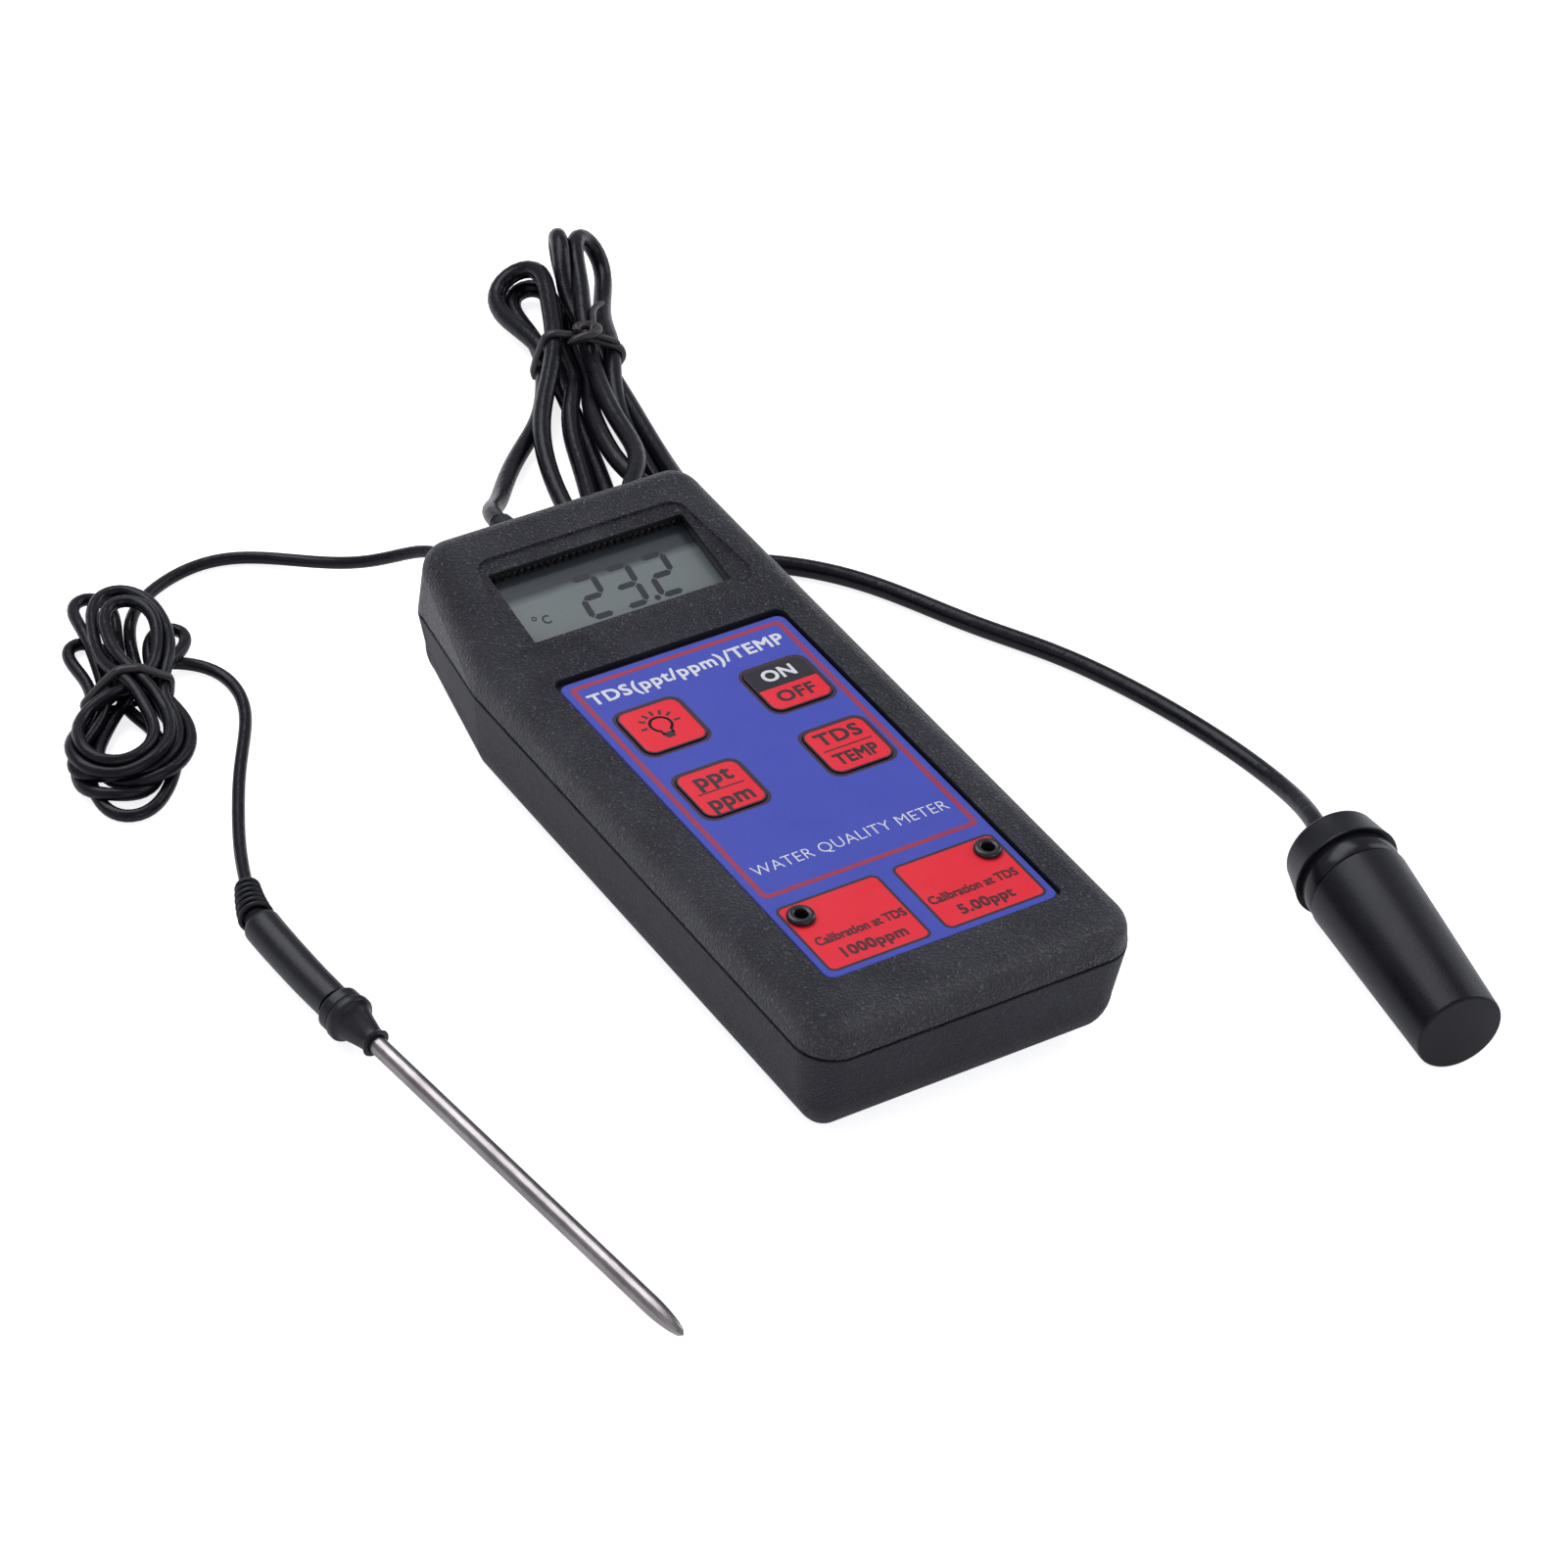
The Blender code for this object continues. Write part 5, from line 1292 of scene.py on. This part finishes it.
def rib_rings(count):
    """Geometry Nodes tree: spaced rings along the relief's line, sized from its thin end to its thick end."""
    tree = bpy.data.node_groups.new("relief_ribs", "GeometryNodeTree")
    tree.interface.new_socket("Geometry", in_out="OUTPUT", socket_type="NodeSocketGeometry")
    tree.interface.new_socket("Line", in_out="INPUT", socket_type="NodeSocketGeometry")
    for label, kind, value in (("Ribs", "NodeSocketInt", count), ("Start Radius", "NodeSocketFloat", 0.0023),
                               ("End Radius", "NodeSocketFloat", 0.0034),
                               ("Thickness", "NodeSocketFloat", 0.00062)):
        socket = tree.interface.new_socket(label, in_out="INPUT", socket_type=kind)
        socket.default_value = value
    tree.interface.new_socket("Finish", in_out="INPUT", socket_type="NodeSocketMaterial")
    nodes, links = tree.nodes, tree.links
    source, sink = nodes.new("NodeGroupInput"), nodes.new("NodeGroupOutput")
    resample = nodes.new("GeometryNodeResampleCurve")
    links.new(source.outputs["Line"], resample.inputs["Curve"])
    links.new(source.outputs["Ribs"], resample.inputs["Count"])
    to_points = nodes.new("GeometryNodeCurveToPoints")
    to_points.mode = "EVALUATED"
    links.new(resample.outputs["Curve"], to_points.inputs["Curve"])
    ring = nodes.new("GeometryNodeCurvePrimitiveCircle")
    ring.inputs["Resolution"].default_value = 40
    ring.inputs["Radius"].default_value = 1.0
    section = nodes.new("GeometryNodeCurvePrimitiveCircle")
    section.inputs["Resolution"].default_value = 10
    links.new(source.outputs["Thickness"], section.inputs["Radius"])
    index = nodes.new("GeometryNodeInputIndex")
    grow = nodes.new("ShaderNodeMapRange")
    grow.inputs["From Min"].default_value = 0.0
    grow.inputs["From Max"].default_value = float(count - 1)
    links.new(index.outputs[0], grow.inputs["Value"])
    links.new(source.outputs["Start Radius"], grow.inputs["To Min"])
    links.new(source.outputs["End Radius"], grow.inputs["To Max"])
    place = nodes.new("GeometryNodeInstanceOnPoints")
    links.new(to_points.outputs["Points"], place.inputs["Points"])
    links.new(ring.outputs["Curve"], place.inputs["Instance"])
    links.new(to_points.outputs["Rotation"], place.inputs["Rotation"])
    links.new(grow.outputs["Result"], place.inputs["Scale"])
    realize = nodes.new("GeometryNodeRealizeInstances")
    links.new(place.outputs["Instances"], realize.inputs["Geometry"])
    tube = nodes.new("GeometryNodeCurveToMesh")
    links.new(realize.outputs["Geometry"], tube.inputs["Curve"])
    links.new(section.outputs["Curve"], tube.inputs["Profile Curve"])
    shade = nodes.new("GeometryNodeSetShadeSmooth")
    links.new(tube.outputs["Mesh"], shade.inputs["Geometry"])
    again = nodes.new("GeometryNodeRealizeInstances")
    links.new(shade.outputs["Geometry"], again.inputs["Geometry"])
    finish = nodes.new("GeometryNodeSetMaterial")
    links.new(again.outputs["Geometry"], finish.inputs["Geometry"])
    links.new(source.outputs["Finish"], finish.inputs["Material"])
    links.new(finish.outputs["Geometry"], sink.inputs["Geometry"])
    return tree


def relief_ribs(path):
    curve = bpy.data.curves.new("relief_ribs", "CURVE")
    curve.dimensions = "3D"
    spline = curve.splines.new("POLY")
    spline.points.add(len(path) - 1)
    for slot, point in zip(spline.points, path):
        slot.co = (*(Vector(point) * MM), 1.0)
    thing = bpy.data.objects.new("relief_ribs", curve)
    bpy.context.scene.collection.objects.link(thing)
    modifier = thing.modifiers.new("ribs", "NODES")
    modifier.node_group = rib_rings(6)
    for socket in modifier.node_group.interface.items_tree:
        if socket.item_type == "SOCKET" and socket.in_out == "INPUT" and socket.name == "Finish":
            modifier[socket.identifier] = RUBBER
    bpy.context.view_layer.update()
    result = bpy.data.meshes.new_from_object(thing.evaluated_get(bpy.context.evaluated_depsgraph_get()))
    bpy.data.objects.remove(thing, do_unlink=True)
    ribs = bpy.data.objects.new("relief_ribs", result)
    bpy.context.scene.collection.objects.link(ribs)
    return ribs


def needle_probe():
    path = smooth_curve(HANDLE_PATH, 0.6)
    total = len(path) - 1
    radii = []
    for number in range(total + 1):
        share = number / total
        if share < 0.31:
            radii.append(1.75 + 1.15 * share / 0.31)
        elif share < 0.345:
            radii.append(2.9 + 1.3 * math.sin(math.pi / 2.0 * (share - 0.31) / 0.035))
        else:
            radii.append(4.2 - 0.32 * (share - 0.345))
    handle = tube_mesh("sensor_handle_grip", path, radii, RUBBER, 40)
    first, last = int(total * 0.03), int(total * 0.285)
    ribs = relief_ribs(path[first:last])
    grip = join("sensor_handle_body", [handle, ribs])
    ride(finish_shading(grip, 45.0), METER, ("sensor_handle",))
    axis = axis_matrix(COLLAR_START, NEEDLE_TIP)
    profile = [(3.9, 0.0), (4.9, 0.15), (5.15, 0.5), (5.15, 2.6), (4.95, 2.9), (4.95, 3.2), (5.35, 3.35),
               (5.5, 3.7),
               (5.5, 4.9), (5.3, 5.3), (4.9, 5.55), (4.5, 5.9), (4.15, 6.6), (3.8, 7.8), (3.4, 9.4),
               (3.0, 11.2), (2.82, 12.2),
               (2.85, 12.8), (3.1, 13.3), (3.3, 13.6), (3.2, 13.75), (2.8, 13.8)]
    collar = turned("sensor_collar_body", profile, RUBBER, 64)
    cut(collar, turned("needle_hole", ((2.25, 3.0), (2.25, 20.0)), BLACK_AND_RECESS_SHADE, 32))
    moved(collar, axis)
    ride(finish_shading(collar, 30.0), METER, ("sensor_collar",))
    length = (NEEDLE_TIP - COLLAR_START).length
    shape = [(2.05, 3.4), (2.05, length - 11.0)]
    for step in range(1, 13):
        t = step / 12.0
        shape.append((2.05 * math.sqrt(max(0.0, 1.0 - t ** 1.7)) + 0.12 * t, length - 11.0 + 11.0 * t))
    needle = turned("sensor_needle_body", shape, STEEL, 48, 50.0)
    moved(needle, axis)
    ride(finish_shading(needle, 50.0), METER, ("sensor_needle",))


# ------------------------------------------------------------------ remaining CAD pieces

def dress_inside():
    finishes = {
        "battery_door": CASING_SHADED_COPY, "circuit_board": BOARD, "display_board": BOARD, "meter_chip": CHIP,
        "amplifier_chip": CHIP, "lead_connector": FILM, "backlight_panel": FILM, "battery": JACKET,
        "battery_snap": VINYL,
        "trimmer_low": TRIMMER, "trimmer_high": TRIMMER, "trimmer_screw_low": BRASS,
        "trimmer_screw_high": BRASS,
        "probe_insulator": INSULATOR, "electrode_left": GRAPHITE, "electrode_right": GRAPHITE,
        "probe_seal": NECK,
        "sensing_bead": CHIP, "probe_lead_gland": RUBBER, "sensor_lead_gland": RUBBER,
    }
    for key in KEYS:
        finishes["switch_" + key[4:]] = CHIP
    for number in range(1, 5):
        finishes[f"casing_screw_{number}"] = SCREW_STEEL
    for node, material in finishes.items():
        thing = frame["nodes"][node]
        if not thing.material_slots:
            thing.data.materials.append(material)
        thing.material_slots[0].material = material


set_camera()
studio()
lay_leads()
front_casing()
rear_casing()
keypad_print()
keys()
trimmer_bushings()
display()
ride(solids_probe(), METER)
needle_probe()
dress_inside()
